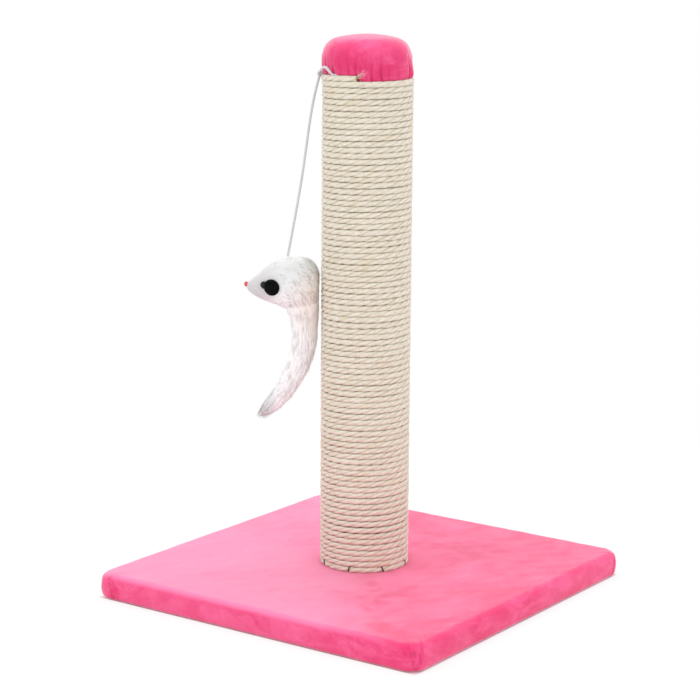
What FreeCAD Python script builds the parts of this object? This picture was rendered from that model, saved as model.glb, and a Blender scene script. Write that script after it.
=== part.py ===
# Cat scratching post: a plush-covered square base, a cardboard tube wound with sisal rope, a padded
# plush cap, and a fur mouse hung from the rim on an elastic cord. Millimetres, +Z up, origin at the
# middle of the underside. The lure (cord, mouse and tail) is modelled in its own vertical plane and is
# then turned to its place. In that plane, out is the distance outwards from the rope's surface, and drop
# the distance below the rope's cut end.
import FreeCAD, Part
import math
import os

V = FreeCAD.Vector
UP = V(0, 0, 1)

# ---- driving dimensions -------------------------------------------------------------------------
fit_gap = 0.1               # clearance of a hard piece in or on another
soft_gap = 0.3              # clearance of soft, curved or moving pieces
pin_gap = 0.05              # clearance of a staple, screw or bolt in its hole

# base
base_side = 308.0
base_corner_radius = 12.5
base_edge_radius = 6.0      # where the plush turns over the board's top edge
base_foot_radius = 4.0      # and under its bottom edge
board_thickness = 16.0
board_edge_radius = 3.5
plush_thickness = 2.5
hem_thickness = 2.3
hem_width = 35.0
liner_thickness = 0.8
liner_border = 15.0         # how far the liner stops short of the board's edge

# bolt, washer and threaded insert that hold the post on the base
bolt_diameter = 8.0
bolt_length = 35.0
bolt_head_width = 13.0      # across the flats
bolt_head_height = 5.3
bolt_hole_diameter = 8.6
washer_diameter = 24.0
washer_thickness = 2.0
recess_depth = 8.0          # counterbore under the board for the head and washer
recess_gap = 2.0
tnut_flange_diameter = 22.0
tnut_flange_thickness = 1.5
tnut_barrel_diameter = 10.0
tnut_barrel_length = 11.0
tnut_prong_length = 7.0
tnut_prong_width = 3.0
tnut_prongs = 4

# post
tube_diameter = 63.2
tube_wall = 3.1
tube_top = 423.5            # height of the tube's top end above the floor
bottom_plug_height = 30.0
well_spare = 1.0            # of the bolt's hole in the plug, past the bolt's end
top_plug_height = 22.0

# sisal rope: 24 real turns at the top, and a plain sleeve in place of the turns below them
rope_diameter = 4.1
rope_pitch = 4.58
rope_turns_shown = 24
rope_sides = 8
rope_stop = 7.2             # from the tube's top down to the top of the rope at its cut end
rope_end_angle = 285.0      # where round the post the rope begins its short straight end
staple_count = 8
staple_first_angle = 15.0
rope_staple_span = 5.2
rope_staple_leg = 10.0
rope_staple_sink = 0.3      # how far the crown is pressed into the rope

# staples in general
staple_wire_width = 1.2
staple_wire_thickness = 0.6
hem_staple_span = 11.0
hem_staple_leg = 8.0
hem_staples_per_side = 5
hem_staple_pitch = 55.0

# cap
cap_disc_step = 0.6         # how far the disc stops short of the tube's outside
cap_disc_thickness = 9.0
cap_height = 23.5           # from the tube's top to the crown
cap_padding = 3.9           # foam and plush outside the tube, at the cap's widest
cap_shoulder_width = 15.5   # from the crown's edge out to the cap's side
cap_crown_drop = 2.2
cap_shoulder_drop = 15.0
cap_shoulder_out = 0.707    # where the shoulder's middle lies, as a share of its width
cap_shoulder_up = 0.707     # and of its height
cap_tuck_height = 4.0       # the side's lowest part, which turns in to the hem
cap_tuck_bulge = 0.3        # how far the tuck's middle lies in from the side, as a share of its width
cap_tuck_middle = 1.2       # and its height above the foot
foam_skirt = 4.0            # how far the foam comes down below the tube's top
hem_step = 0.8              # how far the hem lies inside the rope's surface
screw_count = 3
screw_circle_radius = 16.0
screw_diameter = 4.0
screw_length = 28.0
screw_head_diameter = 8.0
screw_head_height = 2.4

# cord
cord_diameter = 2.0
loop_diameter = 2.6         # the cord lies double here
knot_diameter = 4.4
lure_angle = 215.3          # direction of the lure's plane round the post
knot_out = 1.2
knot_rise = 0.3             # above the rope's cut end
cord_staple_drop = 3.0      # below the doubled cord's first point
cord_staple_turn = 1.0      # degrees past that point

# mouse
rump_out = 0.9              # clear of the rope as the mouse turns
nose_out = 60.2
core_length = 36.0
core_radius = 10.0
core_middle_out = 22.2
core_middle_drop = 165.3
lower_knot_diameter = 5.0
lower_knot_depth = 14.0     # how deep in the mouse, along the cord
eye_out = 39.6
eye_drop = 169.5
eye_seat = 13.9             # of the disc's rim, from the mouse's middle plane
eye_radius = 6.7
eye_bulge = 2.6
eye_sink = 2.0
eye_facing = (0.36, 0.92, -0.10)
eye_lobe_radius = 2.4
eye_lobe_step = 7.2         # from the disc's middle towards the nose
eye_lobe_rise = 1.6
cord_hole_lead = 10.0       # of the cord's hole, outside the mouse's back
nose_bead_radius = 2.3
nose_bead_sink = 1.0        # behind the tip of the snout
nose_bead_drop = 167.1
tail_root_radius = 11.0
tail_root_width = 16.0
tail_pivot_out = 12.2
tail_pivot_drop = 195.3
knuckle_reach = 30.0        # half the length of the cut across the mouse for the tail's root

# ---- places worked out from them ----------------------------------------------------------------
board_bottom = hem_thickness
board_top = board_bottom + board_thickness
base_top = board_top + plush_thickness
board_side = base_side - 2 * plush_thickness
board_corner_radius = base_corner_radius - plush_thickness
opening_side = board_side - 2 * hem_width
liner_side = board_side - 2 * liner_border
recess_radius = washer_diameter / 2 + recess_gap
recess_top = board_bottom + recess_depth
bolt_seat = recess_top - washer_thickness

tube_radius = tube_diameter / 2
tube_inner_radius = tube_radius - tube_wall
plug_radius = tube_inner_radius - fit_gap
rope_radius = rope_diameter / 2
wind_radius = tube_radius + fit_gap + rope_radius      # of the rope's centre line
rope_outer_radius = wind_radius + rope_radius
rope_end_top = tube_top - rope_stop
wind_end = rope_end_top - rope_radius
wind_start = wind_end - rope_turns_shown * rope_pitch
disc_top = tube_top + cap_disc_thickness
cap_disc_radius = tube_radius - cap_disc_step
cap_top = tube_top + cap_height
cap_radius = tube_radius + cap_padding
cap_crown_radius = cap_radius - cap_shoulder_width
foam_bottom = tube_top - foam_skirt
skirt_hem_radius = rope_outer_radius - hem_step
cover_inner_radius = cap_radius - plush_thickness

# the hanging cord's route, (out, drop), from the knot to the mouse's back
cord_route = [(2.5, 3.1), (8.4, 28.3), (14.4, 75.3), (20.6, 112.3), (26.7, 144.9)]

# the doubled cord's route: angle back from the knot round the post, distance out from the rope's
# surface, and height above the rope's cut end
loop_route = [(56.0, -2.7, 8.7), (59.0, -2.7, 2.3), (58.0, 1.8, 1.3), (51.0, 2.8, 4.7),
              (42.0, 2.9, 6.7), (31.0, 2.8, 5.7), (20.0, 2.6, 3.3), (7.0, 2.4, 1.3)]


# ---- helpers ------------------------------------------------------------------------------------
def lure_point(out, drop, t=0.0):
    """A point of the lure's own plane; t is the distance towards the front of that plane."""
    return V(rope_outer_radius + out, t, rope_end_top - drop)


def to_lure_side(shape):
    """Turns what is modelled in the XZ plane to the lure's place round the post."""
    turned = shape.copy()
    turned.rotate(V(0, 0, 0), UP, lure_angle)
    return turned


def rounded_slab(side, corner, bottom, thickness):
    slab = Part.makeBox(side, side, thickness, V(-side / 2, -side / 2, bottom))
    upright = [e for e in slab.Edges if abs(e.tangentAt(e.FirstParameter).z) > 0.9]
    return slab.makeFillet(corner, upright)


def round_edge_at(slab, height, radius):
    """Rounds the slab's flat outline, which lies at this height, top or bottom."""
    rim = [e for e in slab.Edges
           if abs(e.BoundBox.ZMin - height) < 1e-3 and abs(e.BoundBox.ZMax - height) < 1e-3]
    return slab.makeFillet(radius, rim)


def disc(radius, bottom, height):
    return Part.makeCylinder(radius, height, V(0, 0, bottom))


def ring(outer, inner, bottom, height):
    return disc(outer, bottom, height).cut(disc(inner, bottom, height))


def arc_from_tangent(start, tangent, end):
    """The arc that leaves start along tangent and reaches end."""
    chord = end - start
    along = V(chord).normalize()
    side = tangent - along * tangent.dot(along)
    if side.Length < 1e-7:
        return Part.LineSegment(start, end).toShape()
    bow = chord.Length / 2 * math.tan(math.acos(min(1.0, tangent.dot(along))) / 2)
    middle = (start + end) * 0.5 + side.normalize() * bow
    return Part.Arc(start, middle, end).toShape()


def biarc(start, start_tangent, end, end_tangent):
    """Two arcs that meet smoothly, between two points with given directions."""
    gap = end - start
    both = start_tangent + end_tangent
    a = 2 * (1 - start_tangent.dot(end_tangent))
    b = 2 * gap.dot(both)
    c = -gap.dot(gap)
    reach = (-b + math.sqrt(b * b - 4 * a * c)) / (2 * a)
    joint = (start + end + (start_tangent - end_tangent) * reach) * 0.5
    joint_tangent = (end - start - both * reach).normalize()
    return [arc_from_tangent(start, start_tangent, joint), arc_from_tangent(joint, joint_tangent, end)]


def rounded_path(points):
    """Straight runs joined by arcs as large as the runs allow, with the smallest radius used."""
    edges, here, smallest = [], points[0], None
    for i in range(1, len(points) - 1):
        before, after = points[i] - points[i - 1], points[i + 1] - points[i]
        d_in, d_out = V(before).normalize(), V(after).normalize()
        turn = math.acos(max(-1.0, min(1.0, d_in.dot(d_out))))
        setback = 0.45 * min(before.Length, after.Length)
        radius = setback / math.tan(turn / 2)
        smallest = radius if smallest is None else min(smallest, radius)
        first, last = points[i] - d_in * setback, points[i] + d_out * setback
        edges.append(Part.LineSegment(here, first).toShape())
        edges.append(arc_from_tangent(first, d_in, last))
        here = last
    edges.append(Part.LineSegment(here, points[-1]).toShape())
    return Part.Wire(edges), smallest


def tube_along(points, diameter, label):
    """A round tube along a cord's route; prints its length, radii and volume check."""
    path, smallest = rounded_path(points)
    start = V(points[1] - points[0]).normalize()
    circle = Part.Wire(Part.Circle(points[0], start, diameter / 2).toShape())
    tube = path.makePipeShell([circle], True, False)
    wanted = math.pi * diameter ** 2 / 4 * path.Length
    print("%s: length %.1f, smallest radius %.1f, volume/expected %.4f"
          % (label, path.Length, smallest, tube.Volume / wanted))
    return tube


def oval(centre, across, depth, half_across, half_depth):
    """A closed oval of four tangent arcs; across and depth are unit vectors of its two axes."""
    swap = half_depth > half_across
    long_half, short_half = (half_depth, half_across) if swap else (half_across, half_depth)
    end_r = 0.999 * short_half if long_half - short_half < 0.01 else 1.1 * short_half ** 2 / long_half
    end_r = min(end_r, 0.97 * short_half)
    side_r = (long_half ** 2 + short_half ** 2 - 2 * long_half * end_r) / (2 * (short_half - end_r))
    lean = V(long_half - end_r, side_r - short_half, 0).normalize()
    shoulder = (long_half - end_r + end_r * lean.x, end_r * lean.y)

    def place(x, y):
        return centre + (depth * x + across * y if swap else across * x + depth * y)

    x, y = shoulder
    corners = [(x, -y), (x, y), (-x, y), (-x, -y)]
    middles = [(long_half, 0), (0, short_half), (-long_half, 0), (0, -short_half)]
    arcs = [Part.Arc(place(*corners[i]), place(*middles[i]), place(*corners[(i + 1) % 4])).toShape()
            for i in range(4)]
    return Part.Wire(arcs)


def staple(span, leg, grow=0.0):
    """A staple in its own frame: crown along X with its outer face at Z=0, legs pointing to -Z."""
    half = staple_wire_width / 2 + grow
    thick = staple_wire_thickness
    shape = Part.makeBox(span + 2 * grow, 2 * half, thick + 2 * grow,
                         V(-span / 2 - grow, -half, -thick - grow))
    for side in (-1, 1):
        low = side * (span / 2 - thick / 2) - thick / 2 - grow
        shape = shape.fuse(Part.makeBox(thick + 2 * grow, 2 * half, leg + 2 * grow,
                                        V(low, -half, -leg - grow)))
    return shape.removeSplitter()


def set_place(shape, position, rotation):
    placed = shape.copy()
    placed.Placement = FreeCAD.Placement(position, rotation)
    return placed


# ---- the rope -----------------------------------------------------------------------------------
def helix_point(turn):
    """Centre of the rope after so many turns; whole turns end at the cut end's angle."""
    angle = math.radians(rope_end_angle) + 2 * math.pi * turn
    z = wind_end + turn * rope_pitch
    return V(wind_radius * math.cos(angle), wind_radius * math.sin(angle), z)


def helix_tangent(turn):
    angle = math.radians(rope_end_angle) + 2 * math.pi * turn
    climb = rope_pitch / (2 * math.pi)
    return V(-wind_radius * math.sin(angle), wind_radius * math.cos(angle), climb).normalize()


def helix_path(first_turn, last_turn, lead_in, lead_out):
    """Biarcs of a quarter turn, with a straight lead at each end; turns count back from the cut end."""
    steps = round((last_turn - first_turn) * 4)
    knots = [first_turn + i / 4 for i in range(steps + 1)]
    start, end = helix_point(first_turn), helix_point(last_turn)
    edges = [Part.LineSegment(start - helix_tangent(first_turn) * lead_in, start).toShape()]
    for a, b in zip(knots, knots[1:]):
        edges += biarc(helix_point(a), helix_tangent(a), helix_point(b), helix_tangent(b))
    edges.append(Part.LineSegment(end, end + helix_tangent(last_turn) * lead_out).toShape())
    return Part.Wire(edges)


def section_across(path_start, tangent, offsets):
    """A polygon square to the path's start; offsets are (outwards, upwards) pairs."""
    outward = V(path_start.x, path_start.y, 0)
    outward = (outward - tangent * outward.dot(tangent)).normalize()
    upward = outward.cross(tangent)
    upward = upward if upward.z > 0 else upward * -1
    corners = [path_start + outward * o + upward * w for o, w in offsets]
    return Part.makePolygon(corners + corners[:1])


def rope_winding():
    path = helix_path(-rope_turns_shown, 0, rope_diameter, rope_diameter)
    angles = [math.pi * (2 * i + 1) / rope_sides for i in range(rope_sides)]
    offsets = [(rope_radius * math.cos(a), rope_radius * math.sin(a)) for a in angles]
    start = path.Edges[0].Vertexes[0].Point
    section = section_across(start, helix_tangent(-rope_turns_shown), offsets)
    winding = path.makePipeShell([section], True, False)
    area = rope_sides / 2 * rope_radius ** 2 * math.sin(2 * math.pi / rope_sides)
    print("rope winding: length %.0f, volume/expected %.4f"
          % (path.Length, winding.Volume / (area * path.Length)))
    return winding


def cut_rope_seat(shape, first_turn, last_turn):
    """Cuts the room that a stretch of the rope takes, with its clearance, by half turns."""
    reach = rope_radius + soft_gap
    wide = rope_radius + 2 * soft_gap
    lead = rope_diameter + soft_gap
    turn = first_turn
    while turn < last_turn:
        lead_in = lead if turn == -rope_turns_shown else fit_gap
        lead_out = lead if turn + 0.5 == 0 else fit_gap
        path = helix_path(turn, turn + 0.5, lead_in, lead_out)
        start = path.Edges[0].Vertexes[0].Point
        section = section_across(start, helix_tangent(turn),
                                 [(-wide, -reach), (wide, -reach), (wide, reach), (-wide, reach)])
        shape = shape.cut(path.makePipeShell([section], True, False))
        turn += 0.5
    return shape


def print_rope_gap():
    """Least distance between points on neighbouring turns, less the rope's diameter."""
    steps = 72
    points = [helix_point(-3 + i / steps) for i in range(3 * steps)]
    least = min((points[i] - points[j]).Length
                for i in range(steps) for j in range(i + steps // 2, i + 3 * steps // 2))
    print("rope winding: least gap to itself %.3f mm" % (least - rope_diameter))


# ---- base ---------------------------------------------------------------------------------------
def hem_staple_shapes(grow=0.0):
    places = []
    reach = (opening_side + liner_side) / 4
    first = -hem_staple_pitch * (hem_staples_per_side - 1) / 2
    for quarter in range(4):
        for i in range(hem_staples_per_side):
            spin = FreeCAD.Rotation(UP, 90 * quarter)
            position = spin.multVec(V(first + i * hem_staple_pitch, -reach, pin_gap))
            flip = FreeCAD.Rotation(V(1, 0, 0), 180)
            pin = staple(hem_staple_span, hem_staple_leg, grow)
            places.append(set_place(pin, position, spin.multiply(flip)))
    return places


def base_outer():
    slab = rounded_slab(base_side, base_corner_radius, 0, base_top)
    return round_edge_at(round_edge_at(slab, base_top, base_edge_radius), 0, base_foot_radius)


def base_board_blank():
    slab = rounded_slab(board_side, board_corner_radius, board_bottom, board_thickness)
    return round_edge_at(slab, board_top, board_edge_radius)


def liner_blank():
    return rounded_slab(liner_side, board_corner_radius, 0, liner_thickness)


def make_base_board(staples):
    board = base_board_blank().cut(disc(bolt_hole_diameter / 2, board_bottom, board_thickness))
    board = board.cut(disc(recess_radius, board_bottom, recess_depth))
    return board.cut(staples)


def make_base_cover(staples):
    opening = rounded_slab(opening_side, board_corner_radius, 0, board_bottom)
    cover = base_outer().cut(base_board_blank()).cut(opening).cut(liner_blank())
    cover = cover.cut(disc(bolt_hole_diameter / 2, board_top, plush_thickness))
    return cover.cut(staples)


def make_base_liner(staples):
    access = disc(recess_radius, 0, liner_thickness)
    return liner_blank().cut(access).cut(staples)


# ---- bolt, washer, insert -----------------------------------------------------------------------
def hexagon(width, bottom, height):
    corner = width / math.sqrt(3)
    points = [V(corner * math.cos(math.pi * i / 3), corner * math.sin(math.pi * i / 3), bottom)
              for i in range(6)]
    return Part.Face(Part.makePolygon(points + points[:1])).extrude(V(0, 0, height))


def make_post_bolt():
    head = hexagon(bolt_head_width, bolt_seat - bolt_head_height, bolt_head_height)
    shank = disc(bolt_diameter / 2, bolt_seat, bolt_length)
    return head.fuse(shank)


def make_bolt_washer():
    return ring(washer_diameter / 2, bolt_hole_diameter / 2, bolt_seat, washer_thickness)


def tnut_shape(grow=0.0):
    """Flange against the plug's underside, barrel and prongs driven up into the wood."""
    flange = disc(tnut_flange_diameter / 2 + grow, base_top, tnut_flange_thickness + grow)
    barrel = disc(tnut_barrel_diameter / 2 + grow, base_top, tnut_barrel_length + grow)
    shape = flange.fuse(barrel)
    prong_radius = tnut_flange_diameter / 2 - tnut_flange_thickness
    for i in range(tnut_prongs):
        prong = Part.makeBox(tnut_flange_thickness + 2 * grow, tnut_prong_width + 2 * grow,
                             tnut_prong_length + grow,
                             V(prong_radius - grow, -tnut_prong_width / 2 - grow, base_top))
        prong.rotate(V(0, 0, 0), UP, 360 / tnut_prongs * i)
        shape = shape.fuse(prong)
    return shape.removeSplitter()


def make_t_nut():
    return tnut_shape().cut(disc(bolt_diameter / 2 + pin_gap, base_top, tnut_barrel_length))


# ---- post ---------------------------------------------------------------------------------------
def rope_staple_shapes(grow=0.0):
    shapes = []
    low = base_top + rope_staple_span / 2 + soft_gap
    for i in range(staple_count):
        angle = staple_first_angle + 360 / staple_count * i
        around = FreeCAD.Rotation(UP, angle)
        position = around.multVec(V(rope_outer_radius - rope_staple_sink, 0, low))
        stand = FreeCAD.Rotation(V(0, 1, 0), 90)
        pin = staple(rope_staple_span, rope_staple_leg, grow)
        shapes.append(set_place(pin, position, around.multiply(stand)))
    return shapes


def make_bottom_plug(staples):
    plug = disc(plug_radius, base_top, bottom_plug_height).cut(tnut_shape(pin_gap))
    well = disc(bolt_diameter / 2 + fit_gap, base_top, bolt_seat + bolt_length - base_top + well_spare)
    return plug.cut(well).cut(staples)


def make_post_tube(rope_pins, cord_pin):
    tube = ring(tube_radius, tube_inner_radius, base_top, tube_top - base_top)
    return tube.cut(rope_pins).cut(cord_pin)


def make_top_plug(screws, cord_pin):
    plug = disc(plug_radius, tube_top - top_plug_height, top_plug_height)
    return plug.cut(screws).cut(cord_pin)


def make_sisal_rope(staples):
    sleeve_top = wind_start + rope_radius
    sleeve = ring(rope_outer_radius, tube_radius + fit_gap, base_top, sleeve_top - base_top)
    sleeve = cut_rope_seat(sleeve, -rope_turns_shown, -rope_turns_shown + 1).cut(staples)
    return Part.makeCompound([rope_winding(), sleeve])


# ---- cap ----------------------------------------------------------------------------------------
def screw_shapes(grow=0.0):
    shapes = []
    for i in range(screw_count):
        angle = 2 * math.pi * i / screw_count
        x, y = screw_circle_radius * math.cos(angle), screw_circle_radius * math.sin(angle)
        shank = Part.makeCylinder(screw_diameter / 2 + grow, screw_length + grow, V(x, y, disc_top),
                                  V(0, 0, -1))
        head = Part.makeCone(screw_head_diameter / 2 + grow, screw_diameter / 2 + grow, screw_head_height,
                             V(x, y, disc_top), V(0, 0, -1))
        shapes.append(shank.fuse(head))
    return shapes


def make_cap_disc(screws):
    return disc(cap_disc_radius, tube_top, cap_disc_thickness).cut(screws)


def cap_profile(inset):
    """Crown, shoulder and side of the cap, drawn in by inset, from the axis down to the side."""
    apex = V(0, 0, cap_top - inset)
    crown_edge = V(cap_crown_radius - inset / 2, 0, cap_top - cap_crown_drop - inset)
    side_top = V(cap_radius - inset, 0, cap_top - cap_crown_drop - cap_shoulder_drop)
    ball = (crown_edge.x ** 2 + cap_crown_drop ** 2) / (2 * cap_crown_drop)
    crown_middle = V(crown_edge.x / 2, 0, apex.z - ball + math.sqrt(ball ** 2 - crown_edge.x ** 2 / 4))
    shoulder = V(crown_edge.x + (side_top.x - crown_edge.x) * cap_shoulder_out, 0,
                 side_top.z + (crown_edge.z - side_top.z) * cap_shoulder_up)
    return [apex, crown_middle, crown_edge, shoulder, side_top]


def turned_solid(edges):
    face = Part.Face(Part.Wire(edges))
    return face.revolve(V(0, 0, 0), UP, 360)


def cap_dome(inset, bottom, foot_radius):
    """A solid dome from the axis out to the cap's side, closing at the foot."""
    apex, crown_middle, crown_edge, shoulder, side_top = cap_profile(inset)
    foot = V(foot_radius, 0, bottom)
    belly = V(side_top.x, 0, bottom + cap_tuck_height)
    edges = [Part.Arc(apex, crown_middle, crown_edge).toShape(),
             Part.Arc(crown_edge, shoulder, side_top).toShape(),
             Part.LineSegment(side_top, belly).toShape()]
    tuck = belly.x - foot.x
    if tuck > pin_gap:
        bulge = V(belly.x - tuck * cap_tuck_bulge, 0, bottom + cap_tuck_middle)
        edges.append(Part.Arc(belly, bulge, foot).toShape())
    else:
        edges.append(Part.LineSegment(belly, foot).toShape())
    edges.append(Part.LineSegment(foot, V(0, 0, bottom)).toShape())
    edges.append(Part.LineSegment(V(0, 0, bottom), apex).toShape())
    return turned_solid(edges)


def make_cap_foam(loop_room, cord_pin):
    foam = cap_dome(plush_thickness, foam_bottom, cover_inner_radius)
    foam = foam.cut(disc(tube_radius + fit_gap, foam_bottom, tube_top - foam_bottom))
    foam = foam.cut(disc(cap_disc_radius + fit_gap, tube_top, cap_disc_thickness))
    return foam.cut(loop_room).cut(cord_pin)


def make_cap_cover(loop_room, cord_pin, knot_room):
    """The plush, whose gathered hem fills the space down to the rope's last turn."""
    hem_bottom = rope_end_top - rope_pitch + soft_gap
    outside = cap_dome(0, rope_end_top + soft_gap, skirt_hem_radius)
    hem = disc(skirt_hem_radius, hem_bottom, rope_end_top + 2 * soft_gap - hem_bottom)
    inside = cap_dome(plush_thickness, foam_bottom, cover_inner_radius)
    bore = disc(tube_radius + fit_gap, hem_bottom, foam_bottom - hem_bottom)
    cover = cut_rope_seat(outside.fuse(hem).cut(inside).cut(bore), -1.5, 0)
    return cover.cut(loop_room).cut(cord_pin).cut(knot_room)


# ---- cord ---------------------------------------------------------------------------------------
def loop_points():
    points = []
    for back, out, rise in loop_route:
        angle, radius = math.radians(lure_angle + back), rope_outer_radius + out
        points.append(V(radius * math.cos(angle), radius * math.sin(angle), rope_end_top + rise))
    return points


def loop_shape(grow=0.0):
    return tube_along(loop_points(), loop_diameter + 2 * grow, "cord loop")


def cord_staple_shape(grow=0.0):
    """Pins the doubled cord to the tube, just below its end."""
    back, _, rise = loop_route[0]
    around = FreeCAD.Rotation(UP, lure_angle + back + cord_staple_turn)
    crown_out = tube_radius + fit_gap + loop_diameter + fit_gap + staple_wire_thickness
    position = around.multVec(V(crown_out, 0, rope_end_top + rise - cord_staple_drop))
    lay = FreeCAD.Rotation(V(0, 1, 0), 90).multiply(FreeCAD.Rotation(UP, 90))
    return set_place(staple(rope_staple_span, rope_staple_leg, grow), position, around.multiply(lay))


def knot_shape(grow=0.0):
    return to_lure_side(Part.makeSphere(knot_diameter / 2 + grow, lure_point(knot_out, -knot_rise)))


def make_elastic_cord():
    points = [lure_point(out, drop) for out, drop in cord_route]
    return to_lure_side(tube_along(points, cord_diameter, "elastic cord"))


def cord_direction():
    before, last = cord_route[-2:]
    return (lure_point(*last) - lure_point(*before)).normalize()


# ---- mouse --------------------------------------------------------------------------------------
# sections square to the mouse's length: out, drop of the middle, half height, half width
mouse_sections = [(nose_out, 168.9, 2.4, 2.2), (nose_out - 2.5, 168.9, 4.8, 4.4),
                  (nose_out - 8.0, 169.3, 8.7, 7.8), (nose_out - 16.0, 167.3, 14.0, 12.2),
                  (nose_out - 24.0, 165.1, 18.8, 15.4), (nose_out - 34.0, 166.1, 21.8, 17.0),
                  (nose_out - 44.0, 166.7, 23.2, 17.0), (nose_out - 52.0, 167.3, 22.0, 14.6),
                  (nose_out - 57.0, 167.9, 17.5, 9.6), (rump_out, 168.1, 12.0, 5.0)]

# sections square to the tail's run: out, drop, direction in degrees below the horizontal, half width,
# half depth
tail_sections = [(tail_pivot_out, tail_pivot_drop, 90.0, 10.9, 8.0), (12.3, 209.3, 86.0, 10.8, 7.6),
                 (14.4, 222.8, 75.0, 10.3, 7.2), (19.0, 235.5, 65.0, 9.8, 6.7),
                 (25.2, 248.1, 57.0, 9.2, 6.1), (33.2, 259.8, 50.0, 8.4, 5.2),
                 (42.4, 269.7, 43.0, 6.4, 4.0), (50.8, 276.9, 40.0, 2.4, 1.8)]


def tail_knuckle(grow=0.0):
    """The cylinder across the mouse, about which the tail turns."""
    end = lure_point(tail_pivot_out, tail_pivot_drop, -knuckle_reach)
    return Part.makeCylinder(tail_root_radius + grow, 2 * knuckle_reach, end, V(0, 1, 0))


def mouse_blank():
    wires = [oval(lure_point(out, drop), V(0, 1, 0), UP, half_width, half_height)
             for out, drop, half_height, half_width in mouse_sections]
    return Part.makeLoft(wires, True, False)


def tail_blank():
    wires = []
    for out, drop, below, half_width, half_depth in tail_sections:
        slope = math.radians(below)
        across = V(math.sin(slope), 0, math.cos(slope))
        wires.append(oval(lure_point(out, drop), across, V(0, 1, 0), half_width, half_depth))
    return Part.makeLoft(wires, True, False)


def core_shape(grow=0.0):
    """A capsule that lies along the mouse and keeps its shape."""
    radius = core_radius + grow
    straight = core_length - 2 * core_radius
    start = lure_point(core_middle_out - straight / 2, core_middle_drop)
    capsule = Part.makeCylinder(radius, straight, start, V(1, 0, 0))
    for end in (start, start + V(straight, 0, 0)):
        capsule = capsule.fuse(Part.makeSphere(radius, end))
    return capsule


def lower_knot_centre():
    return lure_point(*cord_route[-1]) + cord_direction() * lower_knot_depth


def lower_knot_shape(grow=0.0):
    return Part.makeSphere(lower_knot_diameter / 2 + grow, lower_knot_centre())


def cord_hole():
    """Runs from outside the back down to the knot."""
    length = lower_knot_depth + cord_hole_lead
    start = lower_knot_centre() - cord_direction() * length
    return Part.makeCylinder(cord_diameter / 2 + soft_gap, length, start, cord_direction())


def domed_button(radius, sink, bulge, grow):
    """A button that faces +Z: a short barrel below Z=0 and a dome above it."""
    rim, top, bottom = radius + grow, bulge + grow, -sink - grow
    ball = (rim ** 2 + top ** 2) / (2 * top)
    half_way = V(rim / 2, 0, top - ball + math.sqrt(ball ** 2 - rim ** 2 / 4))
    corners = [V(rim, 0, 0), V(rim, 0, bottom), V(0, 0, bottom), V(0, 0, top)]
    edges = [Part.LineSegment(p, q).toShape() for p, q in zip(corners, corners[1:])]
    edges.append(Part.Arc(corners[3], half_way, corners[0]).toShape())
    return turned_solid(edges)


def eye_shape(side, grow=0.0):
    """A domed disc with a small lobe towards the nose, facing sideways and a little forwards."""
    facing = V(eye_facing[0], side * eye_facing[1], eye_facing[2]).normalize()
    turn = FreeCAD.Rotation(UP, facing)
    seat = lure_point(eye_out, eye_drop, side * eye_seat)
    forwards = (V(1, 0, 0) - facing * facing.x).normalize()
    lobe_seat = seat + forwards * eye_lobe_step + UP * eye_lobe_rise
    disc_part = set_place(domed_button(eye_radius, eye_sink, eye_bulge, grow), seat, turn)
    lobe = set_place(domed_button(eye_lobe_radius, eye_sink, eye_bulge / 2, grow), lobe_seat, turn)
    return disc_part.fuse(lobe)


def nose_bead_shape(grow=0.0):
    return Part.makeSphere(nose_bead_radius + grow, lure_point(nose_out - nose_bead_sink, nose_bead_drop))


def make_mouse_body():
    body = mouse_blank().cut(tail_knuckle(soft_gap))
    body = body.cut(core_shape(fit_gap)).cut(cord_hole()).cut(lower_knot_shape(soft_gap))
    body = body.cut(nose_bead_shape(pin_gap))
    for side in (-1, 1):
        body = body.cut(eye_shape(side, pin_gap))
    return to_lure_side(body)


def make_mouse_core():
    return to_lure_side(core_shape().cut(cord_hole()).cut(lower_knot_shape(soft_gap)))


def make_mouse_tail():
    """The loft starts at the pivot's height; its round root is a slice of the knuckle."""
    corner = lure_point(tail_pivot_out - knuckle_reach, tail_pivot_drop + knuckle_reach,
                        -tail_root_width / 2)
    slice_box = Part.makeBox(2 * knuckle_reach, tail_root_width, 2 * knuckle_reach, corner)
    return to_lure_side(tail_blank().fuse(tail_knuckle().common(slice_box)))


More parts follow.
